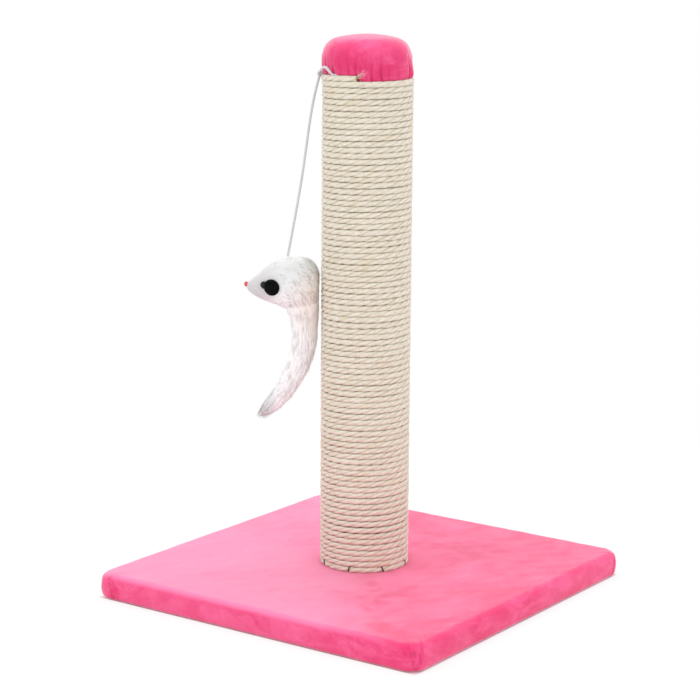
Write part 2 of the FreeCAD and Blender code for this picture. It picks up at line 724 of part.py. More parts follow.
# ---- all nodes ----------------------------------------------------------------------------------
def build():
    hem_pins = Part.makeCompound(hem_staple_shapes(pin_gap))
    rope_pins = Part.makeCompound(rope_staple_shapes(pin_gap))
    cord_pin = cord_staple_shape(pin_gap)
    screws = Part.makeCompound(screw_shapes(pin_gap))
    loop_room = loop_shape(soft_gap)
    return {
        "base_board": make_base_board(hem_pins),
        "base_cover": make_base_cover(hem_pins),
        "base_liner": make_base_liner(hem_pins),
        "hem_staples": Part.makeCompound(hem_staple_shapes()),
        "post_bolt": make_post_bolt(),
        "bolt_washer": make_bolt_washer(),
        "t_nut": make_t_nut(),
        "bottom_plug": make_bottom_plug(rope_pins),
        "post_tube": make_post_tube(rope_pins, cord_pin),
        "top_plug": make_top_plug(screws, cord_pin),
        "sisal_rope": make_sisal_rope(rope_pins),
        "rope_staples": Part.makeCompound(rope_staple_shapes()),
        "cap_disc": make_cap_disc(screws),
        "cap_screws": Part.makeCompound(screw_shapes()),
        "cap_foam": make_cap_foam(loop_room, cord_pin),
        "cap_cover": make_cap_cover(loop_room, cord_pin, knot_shape(soft_gap)),
        "cord_loop": loop_shape(),
        "cord_staple": cord_staple_shape(),
        "top_knot": knot_shape(),
        "elastic_cord": make_elastic_cord(),
        "lower_knot": to_lure_side(lower_knot_shape()),
        "mouse_core": make_mouse_core(),
        "mouse_body": make_mouse_body(),
        "mouse_eyes": to_lure_side(Part.makeCompound([eye_shape(-1), eye_shape(1)])),
        "mouse_nose": to_lure_side(nose_bead_shape()),
        "mouse_tail": make_mouse_tail(),
    }


os.makedirs("parts", exist_ok=True)
print_rope_gap()
for name, shape in build().items():
    shape.exportStep("parts/" + name + ".step")
    print("%s: %d solid(s), volume %.0f, valid %s"
          % (name, len(shape.Solids), shape.Volume, shape.isValid()))
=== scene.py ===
"""Looks of the cat scratching post: plush base and cap, sisal-wound post, fur mouse on an elastic cord.

Shapes are worked out in millimetres in the row frame and written to meshes in metres. The lure (cord,
mouse and tail) is laid out in its own vertical plane: u is the distance from the post's axis, z the
height and t the distance across that plane.
"""

import math

import bmesh
import bpy
import numpy as np
from mathutils import Matrix, Vector


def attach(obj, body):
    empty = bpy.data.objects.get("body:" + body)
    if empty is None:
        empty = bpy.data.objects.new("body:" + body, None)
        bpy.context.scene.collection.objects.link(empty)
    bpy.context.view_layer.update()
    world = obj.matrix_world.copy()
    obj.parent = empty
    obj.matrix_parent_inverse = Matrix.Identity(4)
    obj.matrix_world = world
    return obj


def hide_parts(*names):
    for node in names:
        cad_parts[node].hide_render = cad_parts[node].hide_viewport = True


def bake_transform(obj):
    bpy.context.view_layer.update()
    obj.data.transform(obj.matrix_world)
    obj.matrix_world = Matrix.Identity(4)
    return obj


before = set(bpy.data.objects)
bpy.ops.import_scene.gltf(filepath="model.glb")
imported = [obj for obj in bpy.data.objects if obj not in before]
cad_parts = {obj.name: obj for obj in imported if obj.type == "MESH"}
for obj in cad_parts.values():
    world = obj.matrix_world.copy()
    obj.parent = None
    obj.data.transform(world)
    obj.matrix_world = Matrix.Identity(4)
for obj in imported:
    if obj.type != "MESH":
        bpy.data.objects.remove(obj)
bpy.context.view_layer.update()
rng = np.random.default_rng(5)
MM = 0.001
UP = np.array([0.0, 0.0, 1.0])

# ---- sizes shared with the CAD source, in millimetres ----
BASE_HALF, BASE_TOP, BASE_CORNER, BASE_EDGE, BASE_FOOT = 154.0, 20.8, 12.5, 6.0, 4.0
BOARD_HALF, BOARD_BOTTOM, BOARD_TOP, BOARD_CORNER, BOARD_EDGE = 151.5, 2.3, 18.3, 10.0, 3.5
HEM_INNER, BOLT_HOLE, LINER_HALF, LINER_HOLE = 116.5, 4.3, 136.5, 14.0
WIND_RADIUS, ROPE_PITCH, ROPE_END_Z, ROPE_END_ANGLE = 33.75, 4.58, 414.34, 290.0
ROPE_OUTER = 35.8
STAPLE_ANGLES = [15.0 + 45.0 * i for i in range(8)]
CAP_TOP, CAP_RADIUS = 447.0, 35.5
CAP_CROWN_RADIUS, CAP_CROWN_DROP, CAP_SHOULDER_DROP = 20.0, 2.2, 15.0
CAP_LEAN = 0.9              # the soft cap sits a little towards the lure
LURE_ANGLE = math.radians(215.3)
U_DIR = np.array([math.cos(LURE_ANGLE), math.sin(LURE_ANGLE), 0.0])
T_DIR = np.array([-math.sin(LURE_ANGLE), math.cos(LURE_ANGLE), 0.0])
KNOT_U, KNOT_Z = 37.0, 416.6
# the hanging cord as (u, z), and its fixed end as (degrees back from the lure, radius, height)
CORD_ROUTE = [(38.3, 413.2), (44.2, 388.0), (50.2, 341.0), (56.4, 304.0), (62.5, 271.4)]
LOOP_ROUTE = [(56.0, 33.1, 425.0), (54.0, 33.1, 419.8), (47.0, 33.3, 416.6), (44.0, 35.3, 416.0),
              (41.0, 37.0, 416.8), (38.0, 38.2, 419.6), (32.5, 38.7, 422.3), (25.5, 38.7, 422.0),
              (17.0, 38.4, 419.6), (6.0, 38.2, 417.6)]


# ---- small helpers ----
def lure(u, z, t=0.0):
    """Points of the lure's plane, in the row frame."""
    u, z, t = np.broadcast_arrays(np.asarray(u, float), np.asarray(z, float), np.asarray(t, float))
    return u[..., None] * U_DIR + t[..., None] * T_DIR + z[..., None] * UP


def spread(count):
    """Angles evenly round a circle."""
    return 2 * math.pi * np.arange(count) / count


def polar(radius, angle, height):
    """Points from distance off the post's axis, angle round it and height."""
    return np.stack(np.broadcast_arrays(radius * np.cos(angle), radius * np.sin(angle), height), -1)


def around(angle):
    """The directions outwards and along the rope at angles round the post."""
    return polar(1.0, angle, 0.0), polar(1.0, angle + math.pi / 2, 0.0)


def degrees_off(angle, direction):
    """Degrees from a direction, -180 to 180."""
    return (np.degrees(angle) - direction + 180) % 360 - 180


def unit(rows):
    """Rows of vectors brought to length 1."""
    return rows / np.linalg.norm(rows, axis=1, keepdims=True)


def smooth(x):
    """0 to 1 with a soft start and end."""
    x = np.clip(x, 0.0, 1.0)
    return x * x * (3 - 2 * x)


def bell(x, width):
    return np.exp(-(x / width) ** 2)


def wave_noise(x, step, seed):
    """Smooth noise from -1 to 1 along x, with a new value every step."""
    local = np.random.default_rng(seed)
    x = np.asarray(x, float) / step
    low = math.floor(x.min())
    values = local.uniform(-1, 1, int(math.ceil(x.max())) - low + 2)
    cell = np.floor(x).astype(int) - low
    part = smooth(x - np.floor(x))
    return values[cell] * (1 - part) + values[cell + 1] * part


def field_noise(points, size, seed):
    """Smooth noise from -1 to 1 in space: a few plane waves of random direction."""
    local = np.random.default_rng(seed)
    total = np.zeros(len(points))
    for _ in range(7):
        way = local.normal(size=3)
        way /= np.linalg.norm(way)
        total += np.sin(points @ way * (2 * math.pi / size * local.uniform(0.7, 1.5)) + local.uniform(0, 7))
    return total / 4


def grid_faces(rows, columns, wrap_rows=False):
    """Four-sided faces between rows of points; each row is a closed ring."""
    r, c = np.meshgrid(np.arange(rows if wrap_rows else rows - 1), np.arange(columns), indexing="ij")
    r2, c2 = (r + 1) % rows, (c + 1) % columns
    corners = [r * columns + c, r * columns + c2, r2 * columns + c2, r2 * columns + c]
    return np.stack(corners, -1).reshape(-1, 4).tolist()


def ring_loft(rings):
    """Points and faces of a closed loft through rings of equal count."""
    rows, count = len(rings), len(rings[0])
    ends = [list(range(count))[::-1], [(rows - 1) * count + k for k in range(count)]]
    return np.concatenate(rings), grid_faces(rows, count) + ends


def joined(parts):
    """Several lots of points and faces as one."""
    points, faces = [], []
    for more, more_faces in parts:
        faces += [[i + len(points) for i in face] for face in more_faces]
        points += np.asarray(more).tolist()
    return points, faces


def add_object(name, data):
    obj = bpy.data.objects.new(name, data)
    bpy.context.scene.collection.objects.link(obj)
    return obj


def piece(name, points, faces, material, body="root", slot=None, replaces=()):
    """A mesh from millimetre points that rides on a body."""
    mesh = bpy.data.meshes.new(name)
    mesh.from_pydata((np.asarray(points) * MM).tolist(), [], faces)
    mesh.polygons.foreach_set("use_smooth", np.full(len(mesh.polygons), True))
    mesh.update()
    obj = add_object(name, mesh)
    mesh.materials.append(material)
    if body:
        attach(obj, body)
    if replaces:
        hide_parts(*replaces)
    return obj


def vector_attribute(obj, name, values):
    layer = obj.data.attributes.new(name, "FLOAT_VECTOR", "POINT")
    layer.data.foreach_set("vector", np.asarray(values, np.float32).ravel())


def outward(obj):
    """Turns the faces of a closed mesh outwards."""
    bm = bmesh.new()
    bm.from_mesh(obj.data)
    bmesh.ops.recalc_face_normals(bm, faces=bm.faces)
    bm.to_mesh(obj.data)
    bm.free()


def strands(roots, ways, lengths, widths, bends, steps=2):
    """Tapered three-sided strands. ways are start directions, bends the change of direction by the tip."""
    count = len(roots)
    ways = unit(ways)
    side = unit(np.cross(ways, rng.normal(size=(count, 3))))
    other = np.cross(ways, side)
    rings, here, way = [], roots.copy(), ways.copy()
    for i in range(steps):
        width = widths * (1 - 0.45 * i / steps)
        rings += [here + (side * math.cos(a) + other * math.sin(a)) * width[:, None] for a in spread(3)]
        way = unit(way + bends / steps)
        here = here + way * (lengths / steps)[:, None]
    points = np.stack(rings + [here], 1).reshape(-1, 3)
    sides = [[3 * i + k, 3 * i + (k + 1) % 3, 3 * i + 3 + (k + 1) % 3, 3 * i + 3 + k]
             for i in range(steps - 1) for k in range(3)]
    tips = [[3 * (steps - 1) + k, 3 * (steps - 1) + (k + 1) % 3, 3 * steps] for k in range(3)]
    first = (np.arange(count) * (3 * steps + 1))[:, None, None]
    quads, ends = np.array(sides)[None] + first, np.array(tips)[None] + first
    return points, quads.reshape(-1, 4).tolist() + ends.reshape(-1, 3).tolist()


# ---- materials ----
def srgb(r, g, b):
    """Linear colour from 0-255 display values."""
    def one(v):
        v /= 255
        return v / 12.92 if v <= 0.04045 else ((v + 0.055) / 1.055) ** 2.4
    return (one(r), one(g), one(b), 1.0)


def dimmed(colour, share):
    return tuple(c * share for c in colour[:3]) + (1.0,)


class Nodes:
    """A small builder for the nodes of a material or the world."""

    def __init__(self, owner, **sockets):
        owner.use_nodes = True
        self.owner, self.tree = owner, owner.node_tree
        self.shader = self.tree.nodes.get("Principled BSDF")
        for key, value in sockets.items():
            self.feed(self.shader.inputs[key.replace("_", " ")], value)

    def feed(self, socket, value):
        """Gives a socket a constant or another node's output."""
        if isinstance(value, (int, float, tuple)):
            socket.default_value = value
        else:
            self.tree.links.new(value, socket)

    def add(self, kind, *inputs, **settings):
        """A node, with its first inputs in order and any other settings by name."""
        node = self.tree.nodes.new("ShaderNode" + kind)
        for key, value in settings.items():
            if hasattr(node, key):
                setattr(node, key, value)
            else:
                self.feed(node.inputs[key.replace("_", " ")], value)
        for socket, value in zip(node.inputs, inputs):
            self.feed(socket, value)
        return node

    def place(self):
        return self.add("TexCoord").outputs["Object"]

    def attribute(self, name):
        return self.add("Attribute", attribute_name=name).outputs["Vector"]

    def split(self, vector):
        return self.add("SeparateXYZ", vector).outputs

    def scaled(self, vector, x, y, z):
        return self.add("VectorMath", vector, (x, y, z), operation="MULTIPLY").outputs[0]

    def length(self, vector):
        return self.add("VectorMath", vector, operation="LENGTH").outputs["Value"]

    def noise(self, vector, scale, detail=2.0, distortion=0.0, roughness=0.5):
        return self.add("TexNoise", Vector=vector, Scale=scale, Detail=detail, Distortion=distortion,
                        Roughness=roughness).outputs["Fac"]

    def ramp(self, value, low, high, to_low=0.0, to_high=1.0):
        return self.add("MapRange", value, low, high, to_low, to_high,
                        interpolation_type="SMOOTHSTEP").outputs["Result"]

    def math(self, operation, *values):
        return self.add("Math", *values, operation=operation).outputs[0]

    def times(self, *values):
        return self.math("MULTIPLY", *values)

    def mix(self, factor, a, b):
        node = self.add("Mix", factor, data_type="RGBA")
        self.feed(node.inputs[6], a)
        self.feed(node.inputs[7], b)
        return node.outputs[2]

    def finish(self, colour, grain, rough, *bumps, span=(0.3, 0.7)):
        """Colour, roughness along a grain, and bumps of (height, distance, strength), each over the last."""
        self.feed(self.shader.inputs["Base Color"], colour)
        self.feed(self.shader.inputs["Roughness"], self.ramp(grain, *span, *rough))
        under = {}
        for height, distance, strength in bumps:
            bump = self.add("Bump", Height=height, Distance=distance, Strength=strength, **under)
            under = {"Normal": bump.outputs["Normal"]}
        if under:
            self.feed(self.shader.inputs["Normal"], under["Normal"])
        return self.owner


def principled(name, **sockets):
    return Nodes(bpy.data.materials.new(name), **sockets)


def plush_material(name, light, deep, pale=None):
    """Short pile that is brushed one way in some patches and the other way in others, with painted shade in its
    folds and, where pale is given, painted light on part of the board's top.
    """
    m = principled(name, Sheen_Weight=1.0, Sheen_Roughness=0.34, Sheen_Tint=(1.0, 0.90, 0.95, 1.0),
                   Specular_IOR_Level=0.12)
    place = m.place()
    brushed = m.noise(m.scaled(place, 1.0, 1.0, 1.6), 20.0, 4.0, 1.3, 0.62)
    streaks = m.noise(m.scaled(place, 1.0, 0.35, 1.0), 90.0, 3.0, 0.6, 0.6)
    tufts = m.noise(place, 1500.0, 3.0, 0.0, 0.7)
    grains = m.noise(place, 520.0, 2.0, 0.3, 0.6)
    patch = m.math("ADD", m.ramp(brushed, 0.40, 0.62, 0.0, 0.62), m.ramp(streaks, 0.42, 0.66, 0.0, 0.38))
    pile = m.mix(m.ramp(tufts, 0.30, 0.72), deep, light)
    tone = m.mix(patch, m.mix(0.75, pile, deep), m.mix(0.6, pile, light))
    blotch = m.times(m.ramp(m.noise(place, 11.0, 3.0, 0.8, 0.6), 0.52, 0.62), m.ramp(streaks, 0.36, 0.56))
    if pale:
        # painted light: the pile on the upper side of the board, towards the lure from the post, is painted paler
        # and given fewer dark blotches
        side = m.add("VectorMath", place, (-0.816, -0.578, 0.0), operation="DOT_PRODUCT").outputs["Value"]
        painted_light_mask = m.times(m.ramp(side, -0.035, 0.055), m.ramp(m.split(place)[2], 0.0165, 0.0205, 0.18, 1.0))
        tone = m.mix(m.times(painted_light_mask, 0.85), tone, pale)
        blotch = m.times(blotch, m.ramp(painted_light_mask, 0.9, 0.2, 0.25, 1.3))
    tone = m.mix(m.times(blotch, 0.75), tone, deep)
    # painted shade: how deep a point lies in a fold, read from the fold attribute, darkens the pile towards a
    # dimmed deep colour
    fold = m.times(m.split(m.attribute("fold"))[0], 0.85)
    return m.finish(m.mix(fold, tone, dimmed(deep, 0.80)), grains, (0.78, 0.96),
                    (grains, 0.0006, 0.35), (tufts, 0.0004, 0.55))


def rope_material(name):
    """Twisted natural fibre: streaks along the strands, with painted shade down between strands and turns."""
    m = principled(name, Specular_IOR_Level=0.18, Sheen_Weight=0.15, Sheen_Roughness=0.5)
    along = m.attribute("strand")
    fibres = m.noise(m.scaled(along, 0.10, 1.0, 1.0), 3.6, 3.0, 0.2, 0.7)
    yarns = m.noise(m.scaled(along, 0.05, 1.0, 1.0), 1.3, 2.0, 0.3, 0.6)
    stretch = m.noise(m.scaled(along, 0.016, 0.3, 0.3), 1.0, 2.0)
    # painted shade: the nearer the surface lies to the post's axis, down between the turns, the more it takes the
    # inner colour
    out = m.ramp(m.length(m.scaled(m.place(), 1.0, 1.0, 0.0)), 0.03370, 0.03500)
    across = m.length(m.scaled(along, 0.0, 1.0, 1.0))
    cream = m.mix(m.ramp(fibres, 0.30, 0.68), srgb(214, 203, 180), srgb(243, 237, 224))
    cream = m.mix(m.ramp(yarns, 0.52, 0.74, 0.0, 0.45), cream, srgb(248, 244, 234))
    cream = m.mix(m.ramp(stretch, 0.55, 0.78, 0.0, 0.5), cream, srgb(226, 208, 170))
    # painted shade: darker in the grooves between the strands; inner below is the colour of the painted shade
    # between turns
    cream = m.mix(m.ramp(across, 1.95, 1.62, 0.0, 0.55), cream, srgb(190, 170, 134))
    inner = m.mix(m.ramp(stretch, 0.36, 0.60), srgb(150, 124, 92), srgb(206, 190, 162))
    return m.finish(m.mix(out, inner, cream), fibres, (0.92, 0.70), (yarns, 0.0006, 0.5),
                    (fibres, 0.0003, 0.7), span=(0.2, 0.8))


def fibre_material(name, dark, light, scale=160.0):
    m = principled(name, Specular_IOR_Level=0.2, Sheen_Weight=0.2)
    value = m.noise(m.place(), scale)
    return m.finish(m.mix(m.ramp(value, 0.35, 0.65), dark, light), value, (0.7, 0.85))


def fur_material(name):
    """White fur, with painted shade: grey on the face and back, and beige low on the rear beside the post."""
    m = principled(name, Specular_IOR_Level=0.25, Sheen_Weight=0.3, Sheen_Roughness=0.5)
    place = m.place()
    locks = m.noise(m.scaled(place, 1.0, 1.0, 0.5), 700.0, 3.0, 0.4)
    x, y, z = m.split(place)
    across = m.math("ADD", m.times(x, float(U_DIR[0])), m.times(y, float(U_DIR[1])))
    # painted shade, beige, low on the rear where the body meets the post
    rear = m.times(m.ramp(across, 0.064, 0.042), m.ramp(z, 0.268, 0.246))
    rear_shade = m.times(m.times(rear, m.ramp(z, 0.190, 0.228)),
                   m.ramp(m.noise(place, 38.0), 0.30, 0.60, 0.35, 0.85))
    white = m.mix(m.ramp(locks, 0.32, 0.68), srgb(243, 242, 241), srgb(251, 250, 249))
    # painted shade: greyer towards the top of the back and on the face
    white = m.mix(m.ramp(z, 0.236, 0.268), white, srgb(216, 216, 215))
    white = m.mix(m.ramp(across, 0.066, 0.084, 0.0, 0.95), white, srgb(202, 199, 199))
    return m.finish(m.mix(rear_shade, white, srgb(240, 230, 221)), locks, (0.62, 0.80), (locks, 0.0004, 0.4))


def steel_material(name, colour, rough):
    m = principled(name, Metallic=1.0)
    place = m.place()
    lines = m.noise(m.scaled(place, 1.0, 1.0, 0.12), 900.0, 3.0)
    worn = m.ramp(m.noise(place, 90.0, 3.0), 0.35, 0.7)
    return m.finish(m.mix(worn, dimmed(colour, 0.72), colour), lines, (rough, rough + 0.18),
                    (lines, 0.00005, 0.3))


def wood_material(name, pale, dark, ring_scale, chips=False):
    """Softwood rings, or pressed chips where chips is set."""
    m = principled(name, Specular_IOR_Level=0.2)
    place = m.place()
    if chips:
        grain = m.noise(m.scaled(place, 1.0, 1.0, 3.5), ring_scale, 4.0, 0.5, 0.7)
        fine = m.noise(place, 2400.0)
    else:
        grain = m.noise(m.scaled(place, 1.0, 0.12, 0.12), ring_scale, 3.0, 1.2, 0.6)
        fine = m.noise(m.scaled(place, 1.0, 0.04, 0.04), 2600.0)
    return m.finish(m.mix(m.ramp(grain, 0.34, 0.66), dark, pale), fine, (0.72, 0.9),
                    (grain, 0.0002, 0.4), (fine, 0.0001, 0.4))


def felt_material(name):
    """Thin non-woven cloth with a regular pressed dot."""
    m = principled(name, Sheen_Weight=0.2, Specular_IOR_Level=0.15)
    place = m.place()
    dots = m.add("TexVoronoi", Vector=place, Scale=420.0, Randomness=0.0).outputs["Distance"]
    web = m.noise(place, 1300.0, 4.0, 1.0, 0.7)
    return m.finish(m.mix(m.ramp(web, 0.35, 0.65), srgb(24, 24, 27), srgb(52, 52, 56)), web, (0.75, 0.92),
                    (m.ramp(dots, 0.18, 0.34), 0.0003, 0.7), (web, 0.0002, 0.4))


def cord_material(name):
    """Covered elastic: fine white braid."""
    m = principled(name, Sheen_Weight=0.3, Specular_IOR_Level=0.2)
    place = m.place()
    braid = m.add("TexWave", Vector=place, Scale=520.0, Distortion=3.0, Detail=1.0,
                  bands_direction="DIAGONAL").outputs["Fac"]
    fuzz = m.noise(place, 2200.0)
    return m.finish(m.mix(braid, srgb(188, 187, 192), srgb(224, 223, 226)), fuzz, (0.7, 0.85),
                    (braid, 0.0002, 0.6), (fuzz, 0.0001, 0.5))


def gloss_material(name, low_colour, high_colour, rough, coat, **sockets):
    m = principled(name, Coat_Weight=coat, Coat_Roughness=0.04, **sockets)
    place = m.place()
    swirl = m.ramp(m.noise(place, 260.0, 3.0, 0.8), 0.4, 0.7)
    return m.finish(m.mix(swirl, low_colour, high_colour), m.noise(place, 900.0), (rough, rough + 0.08),
                    span=(0.35, 0.7))


def card_material(name):
    """Grey-brown card wound in a slow spiral."""
    m = principled(name, Specular_IOR_Level=0.15)
    place = m.place()
    pulp = m.noise(place, 700.0, 4.0, 0.4, 0.7)
    plies = m.add("TexWave", Vector=place, Scale=4.0, Distortion=1.5, Detail=2.0,
                  bands_direction="DIAGONAL").outputs["Fac"]
    tone = m.mix(m.ramp(pulp, 0.35, 0.65), srgb(168, 140, 106), srgb(196, 170, 136))
    return m.finish(m.mix(m.times(plies, 0.2), tone, srgb(142, 116, 86)), pulp, (0.8, 0.95),
                    (pulp, 0.0002, 0.4))


def foam_material(name):
    """Open cells."""
    m = principled(name, Specular_IOR_Level=0.1)
    place = m.place()
    cells = m.add("TexVoronoi", Vector=place, Scale=900.0).outputs["Distance"]
    return m.finish(m.mix(m.ramp(cells, 0.1, 0.6), srgb(196, 188, 150), srgb(240, 234, 206)),
                    m.noise(place, 300.0), (0.85, 0.95), (cells, 0.0004, 0.6))


# painted light: the base's third colour is the paler pile painted on the board's top towards the lure
base_plush = plush_material("base_plush", srgb(246, 104, 152), srgb(228, 58, 112), srgb(250, 134, 176))
cap_plush = plush_material("cap_plush", srgb(244, 102, 150), srgb(220, 52, 106))
rope_look = rope_material("sisal")
rope_fibre = fibre_material("sisal_fibre", srgb(216, 203, 176), srgb(244, 239, 226))
orange_fibre = fibre_material("tinted_fibre", srgb(222, 150, 96), srgb(236, 190, 150))
end_fibre = fibre_material("rope_end_fibre", srgb(228, 198, 124), srgb(248, 230, 176))
fur = fur_material("white_fur")
elastic = cord_material("white_elastic")
steel = steel_material("zinc_steel", (0.62, 0.62, 0.64, 1.0), 0.30)
# painted shade: the rope staples' steel is coloured near-black brown for the shade they sit in
painted_shade_wire = steel_material("painted_shade_wire", (0.10, 0.07, 0.06, 1.0), 0.42)
board = wood_material("pressed_board", srgb(196, 164, 122), srgb(146, 112, 74), 260.0, chips=True)
pine = wood_material("pine", srgb(222, 190, 142), srgb(184, 142, 92), 220.0)
card = card_material("wound_card")
felt = felt_material("black_felt")
foam = foam_material("pale_foam")
shell = gloss_material("moulded_shell", srgb(214, 214, 210), srgb(230, 230, 226), 0.35, 0.1)
eye_black = gloss_material("polished_black", (0.002, 0.002, 0.002, 1.0), (0.005, 0.005, 0.006, 1.0), 0.08,
                           0.02, Specular_IOR_Level=0.04)
lobe_black = fibre_material("matt_black", (0.006, 0.006, 0.007, 1.0), (0.02, 0.02, 0.022, 1.0), 1400.0)
nose_red = gloss_material("polished_red", srgb(206, 30, 26), srgb(232, 62, 44), 0.12, 0.9)

CAD_LOOKS = [(board, ("base_board", "cap_disc")), (pine, ("bottom_plug", "top_plug")), (card, ("post_tube",)),
             (steel, ("hem_staples", "post_bolt", "bolt_washer", "t_nut", "cap_screws", "cord_staple")),
             (shell, ("mouse_core",))]
for look, nodes in CAD_LOOKS:
    for node in nodes:
        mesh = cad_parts[node].data
        mesh.materials.clear()
        mesh.materials.append(look)


# ---- camera, lights, floor ----
CAMERA_PLACE = (0.95809, -1.37463, 0.53310)
CAMERA_TURN, CAMERA_RISE, CAMERA_ROLL = math.radians(35.304), math.radians(11.376), math.radians(0.4)
SENSOR, LENS = 36.0, 109.8
FLOOR_REACH, FLOOR_Z = 60.0, -0.0003
# distance from the post's axis, in metres, over which the floor's own light comes in
FOOT_EDGE, FAR_EDGE = (0.1519, 0.1532), (0.30, 0.65)
# lights: name, place, height aimed at, width, power
LAMPS = [("key", (-0.75, -1.15, 1.50), 0.20, 1.2, 8.5), ("fill", (1.60, -0.50, 0.90), 0.20, 1.4, 6.5),
         ("top", (-0.1, 0.45, 1.60), 0.10, 1.2, 12.0)]


def add_camera():
    right = Vector((math.cos(CAMERA_TURN), math.sin(CAMERA_TURN), 0))
    back = Vector((math.sin(CAMERA_TURN) * math.cos(CAMERA_RISE),
                   -math.cos(CAMERA_TURN) * math.cos(CAMERA_RISE), math.sin(CAMERA_RISE)))
    up = back.cross(right)
    x_axis = right * math.cos(CAMERA_ROLL) + up * math.sin(CAMERA_ROLL)
    y_axis = up * math.cos(CAMERA_ROLL) - right * math.sin(CAMERA_ROLL)
    camera = add_object("camera", bpy.data.cameras.new("camera"))
    camera.data.sensor_width, camera.data.lens = SENSOR, LENS
    turn = Matrix((x_axis, y_axis, back)).transposed().to_4x4()
    camera.matrix_world = Matrix.Translation(CAMERA_PLACE) @ turn
    bpy.context.scene.camera = camera


def add_lamps():
    for name, place, aim, size, power in LAMPS:
        data = bpy.data.lights.new(name, "AREA")
        data.shape, data.size, data.energy = "DISK", size, power
        lamp = add_object(name, data)
        lamp.location = place
        lamp.rotation_euler = (Vector((0, 0, aim)) - Vector(place)).to_track_quat("-Z", "Y").to_euler()


def seen_white(m, share):
    """The share of an emission of strength 1 that camera, glossy and transmission rays see."""
    rays = m.add("LightPath").outputs
    total = rays["Is Camera Ray"]
    for other in ("Is Glossy Ray", "Is Transmission Ray"):
        total = m.math("MAXIMUM", total, rays[other])
    return m.times(total, share)


def add_floor():
    """White paper: full shadow at the base's foot, a fifth of it beside the base, plain white farther out."""
    mesh = bpy.data.meshes.new("floor")
    corners = [(x * FLOOR_REACH, y * FLOOR_REACH, 0) for x, y in ((-1, -1), (1, -1), (1, 1), (-1, 1))]
    mesh.from_pydata(corners, [], [(0, 1, 2, 3)])
    floor = add_object("floor", mesh)
    floor.location.z = FLOOR_Z
    m = principled("floor")
    x, y, _ = m.split(m.place())
    beyond = m.math("MAXIMUM", m.math("ABSOLUTE", x), m.math("ABSOLUTE", y))
    share = m.math("MAXIMUM", m.ramp(beyond, *FOOT_EDGE, 0.1, 0.80), m.ramp(beyond, *FAR_EDGE))
    paint, light = m.add("BsdfDiffuse", Color=(0.86, 0.86, 0.86, 1.0)), m.add("Emission")
    mix = m.add("MixShader", seen_white(m, share), paint.outputs[0], light.outputs[0])
    m.feed(m.tree.nodes["Material Output"].inputs["Surface"], mix.outputs[0])
    m.tree.nodes.remove(m.shader)
    mesh.materials.append(m.owner)


def add_world():
    world = bpy.data.worlds.new("world")
    bpy.context.scene.world = world
    m = Nodes(world)
    m.tree.nodes.clear()
    soft = m.add("Background", (0.97, 0.98, 1.0, 1.0), 0.84)
    white = m.add("Background", (1.0, 1.0, 1.0, 1.0), 1.0)
    mix = m.add("MixShader", seen_white(m, 1.0), soft.outputs[0], white.outputs[0])
    m.add("OutputWorld", mix.outputs[0])


# white fur and pale fibres pass light on many times
bpy.context.scene.cycles.max_bounces = 20
bpy.context.scene.cycles.diffuse_bounces = 12
bpy.context.scene.view_settings.view_transform = "Standard"
add_camera()
add_world()
add_floor()
add_lamps()


# ---- elastic cord ----
def nurbs(name, points):
    curve = bpy.data.curves.new(name, "CURVE")
    curve.dimensions = "3D"
    curve.resolution_u = 12
    spline = curve.splines.new("NURBS")
    spline.points.add(len(points) - 1)
    for target, point in zip(spline.points, points):
        target.co = (*(np.asarray(point) * MM), 1.0)
    spline.order_u = 3
    spline.use_endpoint_u = True
    return curve


def along_nurbs(points):
    """Points read from the smooth line through the route, in millimetres."""
    curve = nurbs("route", points)
    holder = bpy.data.objects.new("route", curve)
    mesh = bpy.data.meshes.new_from_object(holder)
    line = np.array([v.co for v in mesh.vertices]) / MM
    bpy.data.objects.remove(holder)
    bpy.data.curves.remove(curve)
    bpy.data.meshes.remove(mesh)
    return line


def tube_mesh(line, radius, sides):
    """Points and faces of a closed tube along a line."""
    ways = unit(np.gradient(line, axis=0))
    side = np.cross(ways[0], [0.3, 0.5, 0.81])
    rings = []
    for p, w in zip(line, ways):
        side = side - w * side.dot(w)
        side /= np.linalg.norm(side)
        other = np.cross(w, side)
        rings.append([p + (side * math.cos(a) + other * math.sin(a)) * radius for a in spread(sides)])
    return ring_loft(rings)


def add_cord():
    route = [lure(u, z) for u, z in [(KNOT_U, KNOT_Z - 0.4)] + CORD_ROUTE]
    curve = nurbs("elastic_cord_braid", route)
    curve.bevel_depth = 0.001
    curve.bevel_resolution = 4
    curve.use_fill_caps = True
    obj = add_object("elastic_cord_braid", curve)
    curve.materials.append(elastic)
    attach(obj, "cord")
    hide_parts("elastic_cord")


def knot_points(size, strand, turn):
    """A small overhand knot, closed, about the origin."""
    a = np.linspace(0, 2 * math.pi, 97)[:-1]
    x = np.sin(a) + 2 * np.sin(2 * a)
    y = np.cos(a) - 2 * np.cos(2 * a)
    z = -np.sin(3 * a) * 1.25
    line = np.stack([x, y, z], 1) / 3.0 * (size / 2 - strand)
    c, s = math.cos(turn), math.sin(turn)
    line = line @ np.array([[c, 0, s], [0, 1, 0], [-s, 0, c]])
    ways = unit(np.roll(line, -1, 0) - np.roll(line, 1, 0))
    side = unit(np.cross(ways, line))
    other = np.cross(ways, side)
    ring = [line + (side * math.cos(b) + other * math.sin(b)) * strand for b in spread(10)]
    return np.stack(ring, 1).reshape(-1, 3), grid_faces(len(line), 10, wrap_rows=True)


def add_knots():
    points, faces = knot_points(6.2, 1.15, 0.5)
    piece("top_knot_tied", points + lure(KNOT_U + 0.3, KNOT_Z - 0.5), faces, elastic, "knot",
          "elastic_white", ["top_knot"])
    (u0, z0), (u1, z1) = CORD_ROUTE[-2:]
    way = np.array([u1 - u0, z1 - z0]) / math.hypot(u1 - u0, z1 - z0) * 14.0
    points, faces = knot_points(5.0, 1.0, 1.2)
    piece("lower_knot_tied", points + lure(u1 + way[0], z1 + way[1]), faces, elastic, "mouse",
          "elastic_white", ["lower_knot"])


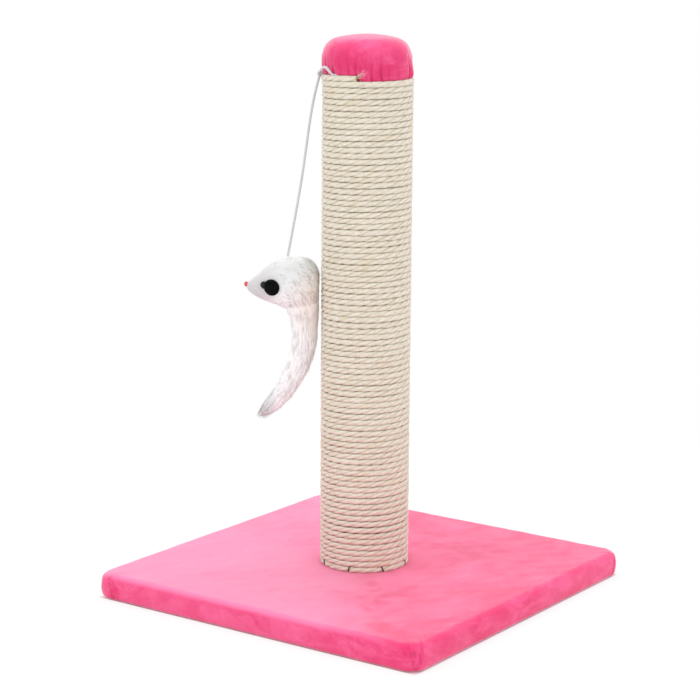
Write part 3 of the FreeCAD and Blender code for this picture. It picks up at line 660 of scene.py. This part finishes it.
def add_cord_loop():
    """The cord lies double from the staple under the cap to the knot."""
    line = along_nurbs([polar(radius, LURE_ANGLE + math.radians(back), z) for back, radius, z in LOOP_ROUTE])
    ways = unit(np.gradient(line, axis=0))
    out = unit(line * np.array([1, 1, 0]))
    lift = unit(np.cross(ways, out))
    turn = (np.linspace(0, 1, len(line)) * 2.6)[:, None]
    step = (lift * np.cos(turn) + out * np.sin(turn)) * 0.66
    points, faces = joined(tube_mesh(line + step * way, 0.70, 10) for way in (1, -1))
    piece("cord_loop_doubled", points, faces, elastic, "root", "elastic_white", ["cord_loop"])


# ---- sisal rope ----
ROPE_RADIUS = 2.27
LAY_LENGTH = 27.0
SECTION_STEP = 2.25         # along the rope
SQUARENESS = 0.88
SWELL_UP = 1.25
MEETING = ROPE_PITCH * 0.508    # half a turn's height, with a little overlap
ROPE_FLOOR = BASE_TOP + ROPE_RADIUS
TURNS = (ROPE_END_Z - ROPE_FLOOR) / ROPE_PITCH
STAPLE_TILTS = [8, -9, 24, 14, -12, 20, -16, 26]
STAPLE_WIRE = 0.46


def rope_line(turn):
    """Angle, height and distance out of the rope's middle, turn counted up from its lower end."""
    angle = math.radians(ROPE_END_ANGLE) + 2 * math.pi * (turn - TURNS)
    whole = np.floor(turn)
    stepped = whole + smooth((turn - whole - 0.75) / 0.25)
    even = smooth((turn - 3.0) / 11.0)
    z = ROPE_FLOOR + ROPE_PITCH * (stepped * (1 - even) + turn * even)
    loose = smooth(turn / 1.5) * smooth((TURNS - turn) / 0.6)
    z = z + loose * (0.15 * wave_noise(turn, 0.31, 11) + 0.07 * wave_noise(turn, 0.083, 12))
    slack = 0.7 * smooth((turn - TURNS + 1.3) / 0.3) * smooth((TURNS - turn) / 0.06)
    stray = 0.12 * wave_noise(turn, 0.27, 13) + 0.05 * wave_noise(turn, 0.07, 14)
    radius = WIND_RADIUS + slack + loose * stray
    for staple in STAPLE_ANGLES:
        radius = radius - 0.75 * bell(degrees_off(angle, staple), 2.4) * (turn < 1.3)
    return angle, z, radius


def add_rope():
    turn = np.append(np.arange(0, TURNS, SECTION_STEP / (2 * math.pi * WIND_RADIUS)), TURNS)
    angle, z, radius = rope_line(turn)
    s = turn * 2 * math.pi * WIND_RADIUS
    twist = 2 * math.pi * s / LAY_LENGTH + 0.5 * wave_noise(turn, 0.4, 15)
    thick = ROPE_RADIUS * (1 + 0.03 * wave_noise(turn, 0.11, 16) + 0.025 * wave_noise(turn, 0.037, 17))
    lobes = np.array([0.74, 0.94, 1.0, 0.94] * 3)
    own = spread(len(lobes))
    a = own[None] + twist[:, None]
    r = thick[:, None] * lobes[None]
    for k in range(3):
        swell = 0.05 * wave_noise(turn + 50 * k, 0.05, 20 + k)
        r[:, 4 * k:4 * k + 4] *= (1 + swell)[:, None]
    # pressed against the tube and its neighbours, each turn is a little square in section
    out = radius[:, None] + r * np.sign(np.cos(a)) * np.abs(np.cos(a)) ** SQUARENESS
    rise = SWELL_UP * r * np.sign(np.sin(a)) * np.abs(np.sin(a)) ** SQUARENESS
    height = z[:, None] + np.clip(rise, -MEETING, MEETING)
    points, faces = ring_loft(polar(out, angle[:, None], height))
    rope = piece("sisal_winding", points, faces, rope_look, "root", "sisal", ["sisal_rope"])
    strand = np.stack([np.broadcast_to(s[:, None], r.shape), r * np.cos(own), r * np.sin(own)], -1)
    vector_attribute(rope, "strand", strand)


def loose_fibres(name, count, material, long, seed):
    """Hairs that have come out of the rope; each starts on its outer side and runs mostly along it."""
    local = np.random.default_rng(seed)
    turn = local.uniform(0.2, TURNS - 0.2, count)
    angle, z, radius = rope_line(turn)
    a = local.uniform(-1.2, 1.2, count)
    out, way = around(angle)
    sunk = 0.93 * ROPE_RADIUS
    root = polar(radius + sunk * np.cos(a), angle, z + sunk * np.sin(a))
    sign = local.choice([-1.0, 1.0], count)
    start = way * sign[:, None] + out * local.uniform(0.10, 0.45, count)[:, None]
    start = start + UP * local.normal(0, 0.38, count)[:, None]
    length = local.uniform(0.35, 1.0, count) * long
    bend = -out * (length / WIND_RADIUS + local.uniform(0.1, 0.55, count))[:, None]
    bend = bend + local.normal(0, 0.25, (count, 3)) * np.array([1, 1, 1.3])
    points, faces = strands(root, start, length, local.uniform(0.035, 0.065, count), bend, steps=3)
    piece(name, points, faces, material, "root", "sisal")


def add_rope_ends():
    """The frayed cut end at the top: short stiff fibres and a few long white ones."""
    count = 260
    out, way = around(math.radians(ROPE_END_ANGLE))
    way = way + UP * 0.03
    spin = rng.uniform(0, 2 * math.pi, count)
    r = ROPE_RADIUS * 0.9 * np.sqrt(rng.uniform(0, 1, count))
    middle = out * WIND_RADIUS + UP * ROPE_END_Z - way * 0.5
    off = out * (r * np.cos(spin))[:, None] + UP * (r * np.sin(spin))[:, None]
    start = way + off * 0.20 + rng.normal(0, 0.16, (count, 3))
    length, width = rng.uniform(0.5, 1.3, count), rng.uniform(0.10, 0.16, count)
    points, faces = strands(middle + off, start, length, width, rng.normal(0, 0.2, (count, 3)))
    piece("rope_end_brush", points, faces, end_fibre, "root", "sisal")
    count = 9
    root = middle + UP * rng.uniform(-1.4, 1.2, count)[:, None] + out * rng.uniform(0.8, 1.9, count)[:, None]
    start = way + UP * rng.uniform(0.1, 0.9, count)[:, None] + out * rng.uniform(0.1, 0.4, count)[:, None]
    bend = -out * rng.uniform(0.1, 0.3, count)[:, None] + UP * rng.normal(0.0, 0.35, count)[:, None]
    length, width = rng.uniform(7.0, 13.0, count), rng.uniform(0.12, 0.20, count)
    points, faces = strands(root, start, length, width, bend, 4)
    piece("rope_end_hairs", points, faces, rope_fibre, "root", "sisal")


def add_rope_staples():
    """Wire staples driven across the lowest turn, each leaning its own way; their near-black colour is painted
    shade.
    """
    half, leg, bow = 2.4, 9.0, 0.5
    parts = []
    for angle, lean in zip(STAPLE_ANGLES, np.radians(STAPLE_TILTS)):
        out, way = around(math.radians(angle))
        along = UP * math.cos(lean) - way * math.sin(lean)
        middle = out * (ROPE_OUTER - 0.45) + UP * (BASE_TOP + 2.9)
        line = [middle + along * rise - out * deep for rise, deep in
                ((-half, leg), (-half, bow), (bow - half, 0), (half - bow, 0), (half, bow), (half, leg))]
        parts.append(tube_mesh(along_nurbs(line), STAPLE_WIRE, 8))
    points, faces = joined(parts)
    piece("rope_staple_wires", points, faces, painted_shade_wire, "root", "staple_dark", ["rope_staples"])


# ---- base cover and liner ----
STRAIGHT, ARC = 72, 14


def square_ring(half, corner):
    """Points round a rounded square, denser near its corners, with the distance from each corner's middle."""
    corner = min(corner, half * 0.999)
    flat = half - corner
    arc = np.arange(ARC)
    bow = corner * np.cos(arc / ARC * math.pi / 2), corner * np.sin(arc / ARC * math.pi / 2)
    e = np.arange(STRAIGHT) / STRAIGHT
    e = e * 0.45 + 0.55 * (0.5 - 0.5 * np.cos(math.pi * e))
    points, near = [], []
    for q in range(4):
        turn = math.pi / 2 * q
        c, s = math.cos(turn), math.sin(turn)
        x = np.concatenate([np.full(STRAIGHT, half), flat + bow[0]])
        y = np.concatenate([-flat + 2 * flat * e, flat + bow[1]])
        points.append(np.stack([c * x - s * y, s * x + c * y], 1))
        arc_half = corner * math.pi / 4
        d = np.concatenate([np.where(e < 0.5, e * 2 * flat + arc_half, -(1 - e) * 2 * flat - arc_half),
                            (arc / ARC - 0.5) * 2 * arc_half])
        index = np.concatenate([np.where(e < 0.5, q - 1, q), np.full(ARC, q)]) % 4
        near.append(np.stack([d, index], 1))
    return np.concatenate(points), np.concatenate(near)


# folds of the plush at each corner: corner (0 is +X+Y, then anticlockwise), place along the edge at the
# top and the foot of the side, depth and width
FOLDS = [(3, -4.5, 0.5, 0.8, 1.1), (3, -1.0, 2.0, 0.6, 0.9), (3, 6.0, 2.5, 0.8, 1.3), (2, 9.0, 17.0, 0.8, 1.5),
         (2, 2.0, -1.0, 0.6, 1.0), (1, -3.0, 2.0, 0.9, 1.0), (0, 4.0, -1.0, 0.9, 1.0),
         (0, -8.0, -13.0, 0.5, 1.5), (1, 8.0, 13.0, 0.5, 1.6)]
SKIN = 0.08                 # between the board and the cloth's inner face


def cover_rings():
    """Rounded squares of the plush from the bolt's hole over the top and side, under the board and back.

    Each is half width, corner, height, share of its noise that goes outwards, depth of folds and kind.
    """
    rings = []

    def ring(half, corner, z, out=0.0, fold=0.0, kind="in"):
        rings.append((half, corner, z, out, fold, kind))

    shelf = BASE_HALF - BASE_EDGE
    for h in np.concatenate([[BOLT_HOLE, 8, 14, 22, 30], np.arange(34, 142, 2.6), np.arange(142, shelf, 1.0)]):
        ring(h, min(h, 6.0 + 6.0 * h / shelf), BASE_TOP, 0.0, smooth((h - 134) / 14) * 0.6, "top")
    for a in np.linspace(0, math.pi / 2, 11)[1:]:
        ring(shelf + BASE_EDGE * math.sin(a), BASE_CORNER, BASE_TOP - BASE_EDGE * (1 - math.cos(a)),
             math.sin(a), 1.0, "side")
    for f in np.linspace(0, 1, 12)[1:]:
        z = BASE_TOP - BASE_EDGE + (BASE_FOOT + 0.05 - BASE_TOP + BASE_EDGE) * f
        ring(BASE_HALF + 0.45 * math.sin(math.pi * f), BASE_CORNER, z, 1.0, 1.0, "side")
    for a in np.linspace(0, math.pi / 2, 9)[1:]:
        ring(BASE_HALF - BASE_FOOT * (1 - math.cos(a)), BASE_CORNER, BASE_FOOT * (1 - math.sin(a)) + 0.05,
             math.cos(a), 1.0, "side")
    for h in np.linspace(BASE_HALF - BASE_FOOT - 1.2, HEM_INNER, 16):
        ring(h, BOARD_CORNER, 0.22 + 0.80 * float(smooth((LINER_HALF + 4.2 - h) / 2.2)), kind="hem")
    ring(HEM_INNER - 0.5, BOARD_CORNER, 1.4)
    ring(HEM_INNER - 0.1, BOARD_CORNER, 2.0)
    for h in np.linspace(HEM_INNER + 2, BOARD_HALF - 0.5, 8):
        ring(h, BOARD_CORNER, BOARD_BOTTOM - 0.06)
    for z in (4.0, 9.0, 12.0):
        ring(BOARD_HALF + SKIN, BOARD_CORNER, z)
    for a in np.linspace(0, math.pi / 2, 5):
        ring(BOARD_HALF - BOARD_EDGE + (BOARD_EDGE + SKIN) * math.cos(a), BOARD_CORNER,
             BOARD_TOP - BOARD_EDGE + (BOARD_EDGE + SKIN) * math.sin(a))
    for h in (120.0, 80.0, 40.0, 12.0, BOLT_HOLE):
        ring(h, min(h, BOARD_CORNER), BOARD_TOP + SKIN)
    return rings


def square_normals(flat, half, corner):
    """Outward directions at the points of a rounded square."""
    way = np.sign(flat) * np.minimum(1, np.maximum(0, np.abs(flat) - (half - corner)) / corner)
    edge = np.abs(flat).max(1) >= half - 1e-6
    way[edge & (np.abs(way).min(1) < 1e-9)] = 0
    main = np.argmax(np.abs(flat), 1)
    for i in np.where(np.linalg.norm(way, axis=1) < 1e-6)[0]:
        way[i, main[i]] = np.sign(flat[i, main[i]])
    return unit(way)


def add_base_cover():
    points, folds = [], []
    rings = cover_rings()
    for half, corner, z, out, fold, kind in rings:
        flat, near = square_ring(half, corner)
        p = np.column_stack([flat, np.full(len(flat), z)])
        fold_shade = np.zeros(len(flat))
        way = square_normals(flat, half, corner)
        if kind in ("top", "side"):
            broad = field_noise(p, 60.0, 31) * 0.30 + field_noise(p, 22.0, 32) * 0.14
            clear = smooth((np.hypot(p[:, 0], p[:, 1]) - 38) / 25)
            move = broad * clear
            p[:, :2] += way * (move * out)[:, None]
            p[:, 2] += move * (1 - out) * (z > 10) * 0.8
            down = np.clip((BASE_TOP - z) / BASE_TOP, 0, 1)
            for corner_index, top, foot, depth, width in FOLDS:
                at = near[:, 0] - (top + (foot - top) * down)
                here = near[:, 1] == corner_index
                cut = -depth * bell(at, width * 0.55)
                ridge = depth * 0.55 * bell(at - width * 1.3, width * 0.9)
                shift = np.where(here, (cut + ridge) * fold, 0.0)
                p[:, :2] += way * (shift * max(out, 0.25))[:, None]
                p[:, 2] += shift * (1 - out) * (z > 10) * 0.7
                # painted shade: how deep each point lies in a corner fold, passed to the material as the fold
                # attribute
                fold_shade = np.maximum(fold_shade, -shift * max(out, 0.25))
        elif kind == "hem":
            p[:, 2] += (0.12 if half > LINER_HALF + 2 else 0.04) * field_noise(p, 26.0, 33)
            crease = np.abs(np.abs(p[:, 0]) - np.abs(p[:, 1]))
            p[:, 2] += 0.9 * bell(crease, 1.4) + 0.25 * bell(crease - 4.5, 2.0)
            p[:, 2] = np.maximum(p[:, 2], 0.04 if half > LINER_HALF + 2 else 0.88)
        points.append(p)
        folds.append(np.clip(fold_shade, 0, 1))
    faces = grid_faces(len(rings), len(points[0]), wrap_rows=True)
    obj = piece("base_plush_cover", np.concatenate(points), faces, base_plush, "root",
                "plush_pink", ["base_cover"])
    outward(obj)
    vector_attribute(obj, "fold", np.repeat(np.concatenate(folds), 3))


def add_base_liner():
    rings = [(h, min(h, BOARD_CORNER), 0.05) for h in np.linspace(LINER_HOLE, LINER_HALF, 22)]
    rings += [(LINER_HALF + 0.1, BOARD_CORNER, 0.40)]
    rings += [(h, min(h, BOARD_CORNER), 0.78) for h in np.linspace(LINER_HALF, LINER_HOLE, 8)]
    points = []
    for half, corner, z in rings:
        flat, _ = square_ring(half, corner)
        p = np.column_stack([flat, np.full(len(flat), z)])
        if z < 0.3:
            p[:, 2] += 0.10 + 0.10 * field_noise(p, 34.0, 35)
        points.append(p)
    faces = grid_faces(len(rings), len(points[0]), wrap_rows=True)
    obj = piece("base_liner_cloth", np.concatenate(points), faces, felt, "root", "liner_felt", ["base_liner"])
    outward(obj)


# ---- cap ----
# pleats of the cap's side: direction, depth and half width in degrees
PLEATS = [(241, 1.5, 2.6), (249, 0.6, 2.5), (257, 1.1, 3.0), (268, 0.6, 3.0), (280, 1.1, 2.2), (290.4, 1.4, 2.2),
          (297, 1.0, 1.9), (303, 0.6, 2.0), (310, 1.4, 2.0), (322, 1.7, 2.6), (331, 0.6, 3.0), (345, 0.4, 4.0),
          (10, 2.1, 2.0), (17, 2.5, 2.2), (27, 1.0, 3.0), (41, 0.8, 3.4), (58, 1.3, 3.2), (73, 0.7, 2.8),
          (92, 1.1, 3.6), (110, 0.8, 3.0), (129, 1.3, 3.4), (147, 0.8, 2.8), (160, 0.6, 3.2), (176, 1.2, 3.4),
          (193, 0.8, 3.0), (208, 1.0, 3.2), (224, 0.8, 2.8)]
CAP_COLUMNS = 420
CRUMPLED = 287              # where the side is crumpled most, in degrees


def rope_top(angle):
    """Height of the top of the rope's last turn under the cap's hem, with a short slope at its cut end."""
    back = (ROPE_END_ANGLE - np.degrees(angle)) % 360
    fall = ROPE_PITCH * back / 360
    jump = smooth((back - 354.5) / 4.5)
    return ROPE_END_Z + ROPE_RADIUS - 0.35 - fall * (1 - jump)


def cap_profile():
    """The cap's outside from its middle to the hem, and the height of its side's top.

    Each row is radius, height, what the height counts from (0 the floor, 1 from the side's top to the
    hem, 2 the hem) and depth of the pleats.
    """
    side = []
    ball = (CAP_CROWN_RADIUS ** 2 + CAP_CROWN_DROP ** 2) / (2 * CAP_CROWN_DROP)
    for r in np.linspace(0.6, CAP_CROWN_RADIUS, 14):
        side.append((r, CAP_TOP - ball + math.sqrt(ball ** 2 - r ** 2), 0.0, 0.0))
    side_top = CAP_TOP - CAP_CROWN_DROP - CAP_SHOULDER_DROP
    for a in np.linspace(0, math.pi / 2, 18)[1:]:
        side.append((CAP_CROWN_RADIUS + (CAP_RADIUS - CAP_CROWN_RADIUS) * math.sin(a),
                     side_top + CAP_SHOULDER_DROP * math.cos(a), 0.0, 0.14 * (a / (math.pi / 2)) ** 5))
    profile = np.array(side)
    for _ in range(16):
        profile[1:-1, :2] = (profile[:-2, :2] + 2 * profile[1:-1, :2] + profile[2:, :2]) / 4
    side = profile.tolist()
    for f in np.linspace(0, 1, 12)[1:]:
        side.append((CAP_RADIUS, f, 1.0, 0.14 + 0.86 * f ** 1.2))
    for r, dz, depth in ((35.4, 2.6, 1.0), (35.1, 1.5, 0.9), (34.5, 0.6, 0.7), (33.6, 0.1, 0.4), (32.7, 0.1, 0.2),
                         (32.0, 0.8, 0.0)):
        side.append((r, dz, 2.0, depth))
    return side, side_top


def pleat_moves(angle, height, depth):
    """How far the pleats move a ring of the cap's side outwards."""
    move = np.zeros(len(angle))
    for direction, deep, wide in PLEATS:
        off = degrees_off(angle, direction) + 0.8 * np.sin(height * 0.33 + direction)
        move -= deep * bell(off, wide * (0.9 + 0.5 * depth) * 0.62)
        move += 0.24 * deep * bell(off - wide * 1.7, wide * 1.2)
        move += 0.20 * deep * bell(off + wide * 1.7, wide * 1.2)
    return move


def add_cap_cover():
    angle = spread(CAP_COLUMNS)
    hem = rope_top(angle)
    side, side_top = cap_profile()
    points, folds = [], []
    for r, z, follows, depth in side:
        if follows == 0.0:
            height = np.full(CAP_COLUMNS, z)
        elif follows == 1.0:
            height = side_top + (hem + 4.2 - side_top) * z
        else:
            height = hem + z
        move = pleat_moves(angle, height, depth) if depth else np.zeros(CAP_COLUMNS)
        # painted shade: how deep each point lies in a pleat, passed to the material as the fold attribute
        fold_shade = (np.clip(-move * depth, 0, 1.5) / 1.5) ** 0.75
        p = polar(r + move * depth * 0.75, angle, height)
        rough = field_noise(p, 17.0, 41) * 0.22 + field_noise(p, 7.0, 42) * 0.10
        if depth:
            crumple = 0.32 * depth * bell(degrees_off(angle, CRUMPLED), 20.0)
            rough = rough + crumple * field_noise(p, 3.2, 43)
        fade = min(1.0, r / 20.0) * (0.35 + 0.65 * min(1.0, depth * 2))
        p[:, :2] += p[:, :2] / max(r, 1.0) * (rough * fade)[:, None]
        p[:, 2] += rough * fade * (0.6 if follows == 0.0 else 0.0)
        p += U_DIR * (CAP_LEAN * smooth((height - 416.0) / 12.0))[:, None]
        points.append(p)
        folds.append(fold_shade)
    # the inner face, against the foam, tube and disc
    inner = [(31.75, 2.0, 2.0), (31.85, 5.0, 2.0), (33.0, 424.5, 0.0), (33.0, 430.0, 0.0), (32.2, 434.4, 0.0),
             (29.4, 438.6, 0.0), (24.5, 441.2, 0.0), (18.5, 442.5, 0.0), (10.0, 443.9, 0.0), (0.6, 444.4, 0.0)]
    for r, z, follows in inner:
        points.append(polar(r, angle, hem + z if follows else z))
        folds.append(np.zeros(CAP_COLUMNS))
    points, faces = ring_loft(points)
    obj = piece("cap_plush_cover", points, faces, cap_plush, "root", "plush_pink", ["cap_cover"])
    outward(obj)
    vector_attribute(obj, "fold", np.repeat(np.concatenate(folds), 3))


def add_cap_foam():
    """The pad between the disc and the plush."""
    angle = spread(96)
    outer = [(0.5, 444.2), (10, 443.6), (18, 442.2), (24, 440.8), (29.0, 438.2), (31.9, 434.2), (32.8, 430.0),
             (32.8, 424.0), (32.6, 420.4), (31.8, 419.6)]
    inner = [(31.75, 423.3), (31.75, 423.7), (31.15, 423.9), (31.15, 432.5), (0.5, 432.6)]
    points = []
    for r, z in outer + inner:
        p = polar(r, angle, z)
        p[:, 2] += field_noise(p, 15.0, 51) * 0.12 * (r < 31) * (z > 436)
        points.append(p)
    points, faces = ring_loft(points)
    obj = piece("cap_foam_pad", points, faces, foam, "root", "foam", ["cap_foam"])
    outward(obj)


# ---- mouse ----
# sections of the skin under the fur: u, height of the middle, half height, half width
BODY = [(95.3, 247.4, 2.6, 2.2), (93.2, 247.4, 4.6, 3.9), (90.0, 247.4, 7.0, 5.8), (86.0, 247.8, 9.6, 8.0),
        (80.0, 249.0, 13.4, 11.2), (72.0, 250.4, 17.6, 14.2), (62.0, 250.0, 20.6, 15.8), (52.0, 249.6, 21.9, 15.6),
        (45.0, 249.0, 20.6, 13.4), (40.0, 248.4, 16.5, 9.4), (37.6, 248.2, 11.4, 5.0)]
# sections of the tail: u, z, degrees below the horizontal, half width, half depth
TAIL = [(53.5, 240.0, 104.0, 16.0, 12.0), (50.6, 230.0, 97.0, 13.2, 9.8), (49.0, 219.5, 91.0, 11.0, 7.8),
        (49.0, 207.0, 86.0, 10.2, 6.8), (51.1, 193.5, 75.0, 9.8, 6.2), (55.7, 180.8, 65.0, 9.2, 5.6),
        (62.0, 168.2, 57.0, 8.5, 5.0), (70.0, 156.8, 50.0, 7.4, 4.2), (78.4, 147.8, 43.0, 5.8, 3.2),
        (83.4, 143.2, 40.0, 3.6, 2.2)]
SPINE = np.array([(97.0, 247.4), (88.0, 247.6), (78.0, 249.5), (68.0, 249.5), (59.0, 246.0), (52.5, 238.5),
                  (49.0, 229.0), (48.0, 219.0), (48.1, 207.0), (50.2, 193.5), (54.8, 180.8), (61.0, 168.2),
                  (69.0, 156.5), (78.2, 146.6), (90.0, 137.0)])
# where the tail begins to bend and is fully bent, in metres
FLEX = tuple(lure(48.0, 232.0) * MM), tuple(lure(48.0, 208.0) * MM)
# along the animal from nose (0) to tail tip (1): length and lift of the fur
FUR_LENGTH = [(0.0, 0.9), (0.06, 1.3), (0.14, 2.4), (0.25, 4.2), (0.38, 6.5), (0.50, 8.5), (0.70, 9.5), (0.9, 8.0),
              (1.0, 7.5)]
FUR_LIFT = [(0.0, 0.12), (0.1, 0.10), (0.3, 0.06), (0.6, 0.04), (1.0, 0.03)]
FUR_COUNT, FUR_PARTS = 13000, 0.47
ROOT_CLEAR, TIP_CLEAR = 36.5, 36.4      # how far from the post's axis fur may start and end
EYE_U, EYE_Z, EYE_SEAT, EYE_RADIUS = 74.8, 248.6, 13.9, 6.7
EYE_FACING = np.array([0.36, 0.92, -0.10]) / math.sqrt(0.36 ** 2 + 0.92 ** 2 + 0.10 ** 2)


def resample(rows, count):
    """Catmull-Rom through rows of numbers, evenly in row index."""
    rows = np.asarray(rows, float)
    x = np.linspace(0, len(rows) - 1, count)
    i = np.minimum(np.floor(x).astype(int), len(rows) - 2)
    f = (x - i)[:, None]
    p0, p1 = rows[np.maximum(i - 1, 0)], rows[i]
    p2, p3 = rows[i + 1], rows[np.minimum(i + 2, len(rows) - 1)]
    return 0.5 * (2 * p1 + (p2 - p0) * f + (2 * p0 - 5 * p1 + 4 * p2 - p3) * f ** 2
                  + (3 * p1 - p0 - 3 * p2 + p3) * f ** 3)


def mouse_skin():
    """One smooth skin over body and tail."""
    a = np.linspace(0, 2 * math.pi, 37)[:-1]
    body = [lure(u, z + half_height * np.sin(a), half_width * np.cos(a))
            for u, z, half_height, half_width in resample(BODY, 60)]
    tail = []
    for u, z, below, half_width, half_depth in resample(TAIL, 60):
        s = math.radians(below)
        across = half_width * np.cos(a)
        tail.append(lure(u + across * math.sin(s), z + across * math.cos(s), half_depth * np.sin(a)))
    points, faces = joined([ring_loft(body), ring_loft(tail)])
    obj = piece("mouse_skin", points, faces, fur, None)
    outward(obj)
    remesh = obj.modifiers.new("join", "REMESH")
    remesh.mode, remesh.voxel_size = "VOXEL", 0.0013
    soften = obj.modifiers.new("soften", "SMOOTH")
    soften.factor, soften.iterations = 0.5, 14
    mesh = bpy.data.meshes.new_from_object(obj.evaluated_get(bpy.context.evaluated_depsgraph_get()))
    obj.modifiers.clear()
    obj.data = mesh
    mesh.polygons.foreach_set("use_smooth", np.full(len(mesh.polygons), True))
    return obj


def sample_surface(mesh, count, local):
    """Random points on a mesh, evenly by area, with their normals."""
    mesh.calc_loop_triangles()
    n = len(mesh.loop_triangles)
    index = np.zeros(n * 3, np.int32)
    mesh.loop_triangles.foreach_get("vertices", index)
    index = index.reshape(-1, 3)
    co = np.zeros(len(mesh.vertices) * 3)
    mesh.vertices.foreach_get("co", co)
    co = co.reshape(-1, 3) / MM
    a, b, c = co[index[:, 0]], co[index[:, 1]], co[index[:, 2]]
    normal = np.cross(b - a, c - a)
    area = np.linalg.norm(normal, axis=1)
    pick = local.choice(n, count, p=area / area.sum())
    f, g = local.uniform(0, 1, count), local.uniform(0, 1, count)
    over = f + g > 1
    f[over], g[over] = 1 - f[over], 1 - g[over]
    p = a[pick] + (b - a)[pick] * f[:, None] + (c - a)[pick] * g[:, None]
    return p, normal[pick] / area[pick][:, None]


def spine_flow(u, z):
    """Direction of the fur at points of the lure's plane, and how far along the animal they are (0-1)."""
    fine = resample(SPINE, 240)
    ways = unit(np.gradient(fine, axis=0))
    d = (u[:, None] - fine[None, :, 0]) ** 2 + (z[:, None] - fine[None, :, 1]) ** 2
    near = d.argmin(1)
    return ways[near], near / (len(fine) - 1)


def add_mouse():
    skin = mouse_skin()
    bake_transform(skin)
    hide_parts("mouse_body", "mouse_tail")
    local = np.random.default_rng(8)
    count = FUR_COUNT
    p, normal = sample_surface(skin.data, count, local)
    u, z = p @ U_DIR, p[:, 2]
    flow, done = spine_flow(u, z)
    way = flow[:, :1] * U_DIR + flow[:, 1:] * UP
    way = way - normal * (way * normal).sum(1)[:, None]
    way /= np.maximum(np.linalg.norm(way, axis=1, keepdims=True), 1e-6)
    length = np.interp(done, *zip(*FUR_LENGTH)) * local.uniform(0.65, 1.15, count)
    lift = np.interp(done, *zip(*FUR_LIFT)) * local.uniform(0.3, 1.3, count)
    clump = np.stack([field_noise(p, 9.0, 61 + i) for i in range(3)], 1)
    clump = clump * np.interp(done, [0.3, 0.6, 1.0], [0.03, 0.05, 0.04])[:, None]
    start = way + normal * lift[:, None] + clump + local.normal(0, 0.03, (count, 3))
    bend = -normal * (lift * 0.9)[:, None] + clump * 0.8 - UP * 0.12 + local.normal(0, 0.03, (count, 3))
    # no fur over the eyes and the nose bead, less towards the tail's tip, and short beside the post
    du, dz = u - EYE_U, z - EYE_Z
    over_eye = np.hypot(np.abs(du) - np.minimum(np.clip(du, 0, None), length * 0.8), dz) <= EYE_RADIUS + 0.5
    keep = ~over_eye & (np.hypot(u - 95.5, z - 248.6) > 2.2)
    keep &= local.uniform(0, 1, count) > np.interp(done, [0.55, 0.9], [0.0, 0.45])
    keep &= np.hypot(p[:, 0], p[:, 1]) > ROOT_CLEAR
    tip = p + way * length[:, None]
    length = np.where(np.hypot(tip[:, 0], tip[:, 1]) < TIP_CLEAR, length * 0.55, length)
    for name, part, steps in (("mouse_fur", done < FUR_PARTS, 2), ("tail_fur", done >= FUR_PARTS, 3)):
        chosen = keep & part
        width = np.where(done[chosen] < 0.2, 0.08, 0.10) * local.uniform(0.8, 1.2, chosen.sum())
        points, faces = strands(p[chosen] - normal[chosen] * 0.1, start[chosen], length[chosen], width,
                                bend[chosen], steps)
        obj = piece(name, points, faces, fur, None, "fur_white")
        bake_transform(obj)


def turned(profile, columns):
    """Points and faces of a profile of (radius, height) turned about Z, closed at the axis at both ends."""
    return ring_loft([polar(r, spread(columns), h) for r, h in profile])


def add_eyes():
    """Polished black domes, each with a small matt lobe towards the nose."""
    dome = [(0.05, -2.0), (5.2, -2.0), (6.2, -1.4), (6.6, -0.6), (6.7, 0.1)]
    dome += [(6.7 * math.cos(a), 0.1 + 2.5 * math.sin(a)) for a in np.linspace(0, math.pi / 2, 14)[1:-1]]
    dome += [(0.05, 2.6)]
    small = [(0.03, -1.8), (2.2, -1.8), (2.9, -0.5)]
    small += [(3.0 * math.cos(a), 1.7 * math.sin(a)) for a in np.linspace(0, math.pi / 2, 9)[:-1]] + [(0.03, 1.7)]
    lobe, lobe_faces = turned(small, 24)
    lobe = lobe * (1 + field_noise(lobe, 1.6, 71)[:, None] * 0.08)
    for name, (points, faces), ahead, high, look in (
            ("mouse_eyes_domes", turned(dome, 48), 0.0, 0.0, eye_black),
            ("mouse_eyes_lobes", (lobe, lobe_faces), 6.6, 1.3, lobe_black)):
        pair = []
        for side in (-1, 1):
            facing = EYE_FACING * np.array([1, side, 1])
            forwards = np.array([1.0, 0, 0]) - facing * facing[0]
            forwards /= np.linalg.norm(forwards)
            seat = np.array([EYE_U, side * EYE_SEAT, EYE_Z]) + forwards * ahead + UP * high
            q = seat + points @ np.stack([forwards, np.cross(facing, forwards), facing])
            pair.append((lure(q[:, 0], q[:, 2], q[:, 1]), faces))
        outward(piece(name, *joined(pair), look, "mouse", "eye_black", ["mouse_eyes"]))


def add_nose():
    a = np.linspace(-math.pi / 2, math.pi / 2, 16)
    bead = [(max(0.02, 1.75 * math.cos(x)), 2.25 * math.sin(x)) for x in a]
    points, faces = turned(bead, 32)
    outward(piece("mouse_nose_bead", points + lure(95.4, 249.0), faces, nose_red, "mouse", "nose_red",
                  ["mouse_nose"]))


add_cord()
add_knots()
add_cord_loop()
add_rope()
loose_fibres("rope_loose_fibres", 6500, rope_fibre, 6.0, 91)
loose_fibres("rope_tinted_fibres", 70, orange_fibre, 9.0, 92)
add_rope_ends()
add_rope_staples()
add_base_cover()
add_base_liner()
add_cap_foam()
add_cap_cover()
add_mouse()
add_eyes()
add_nose()
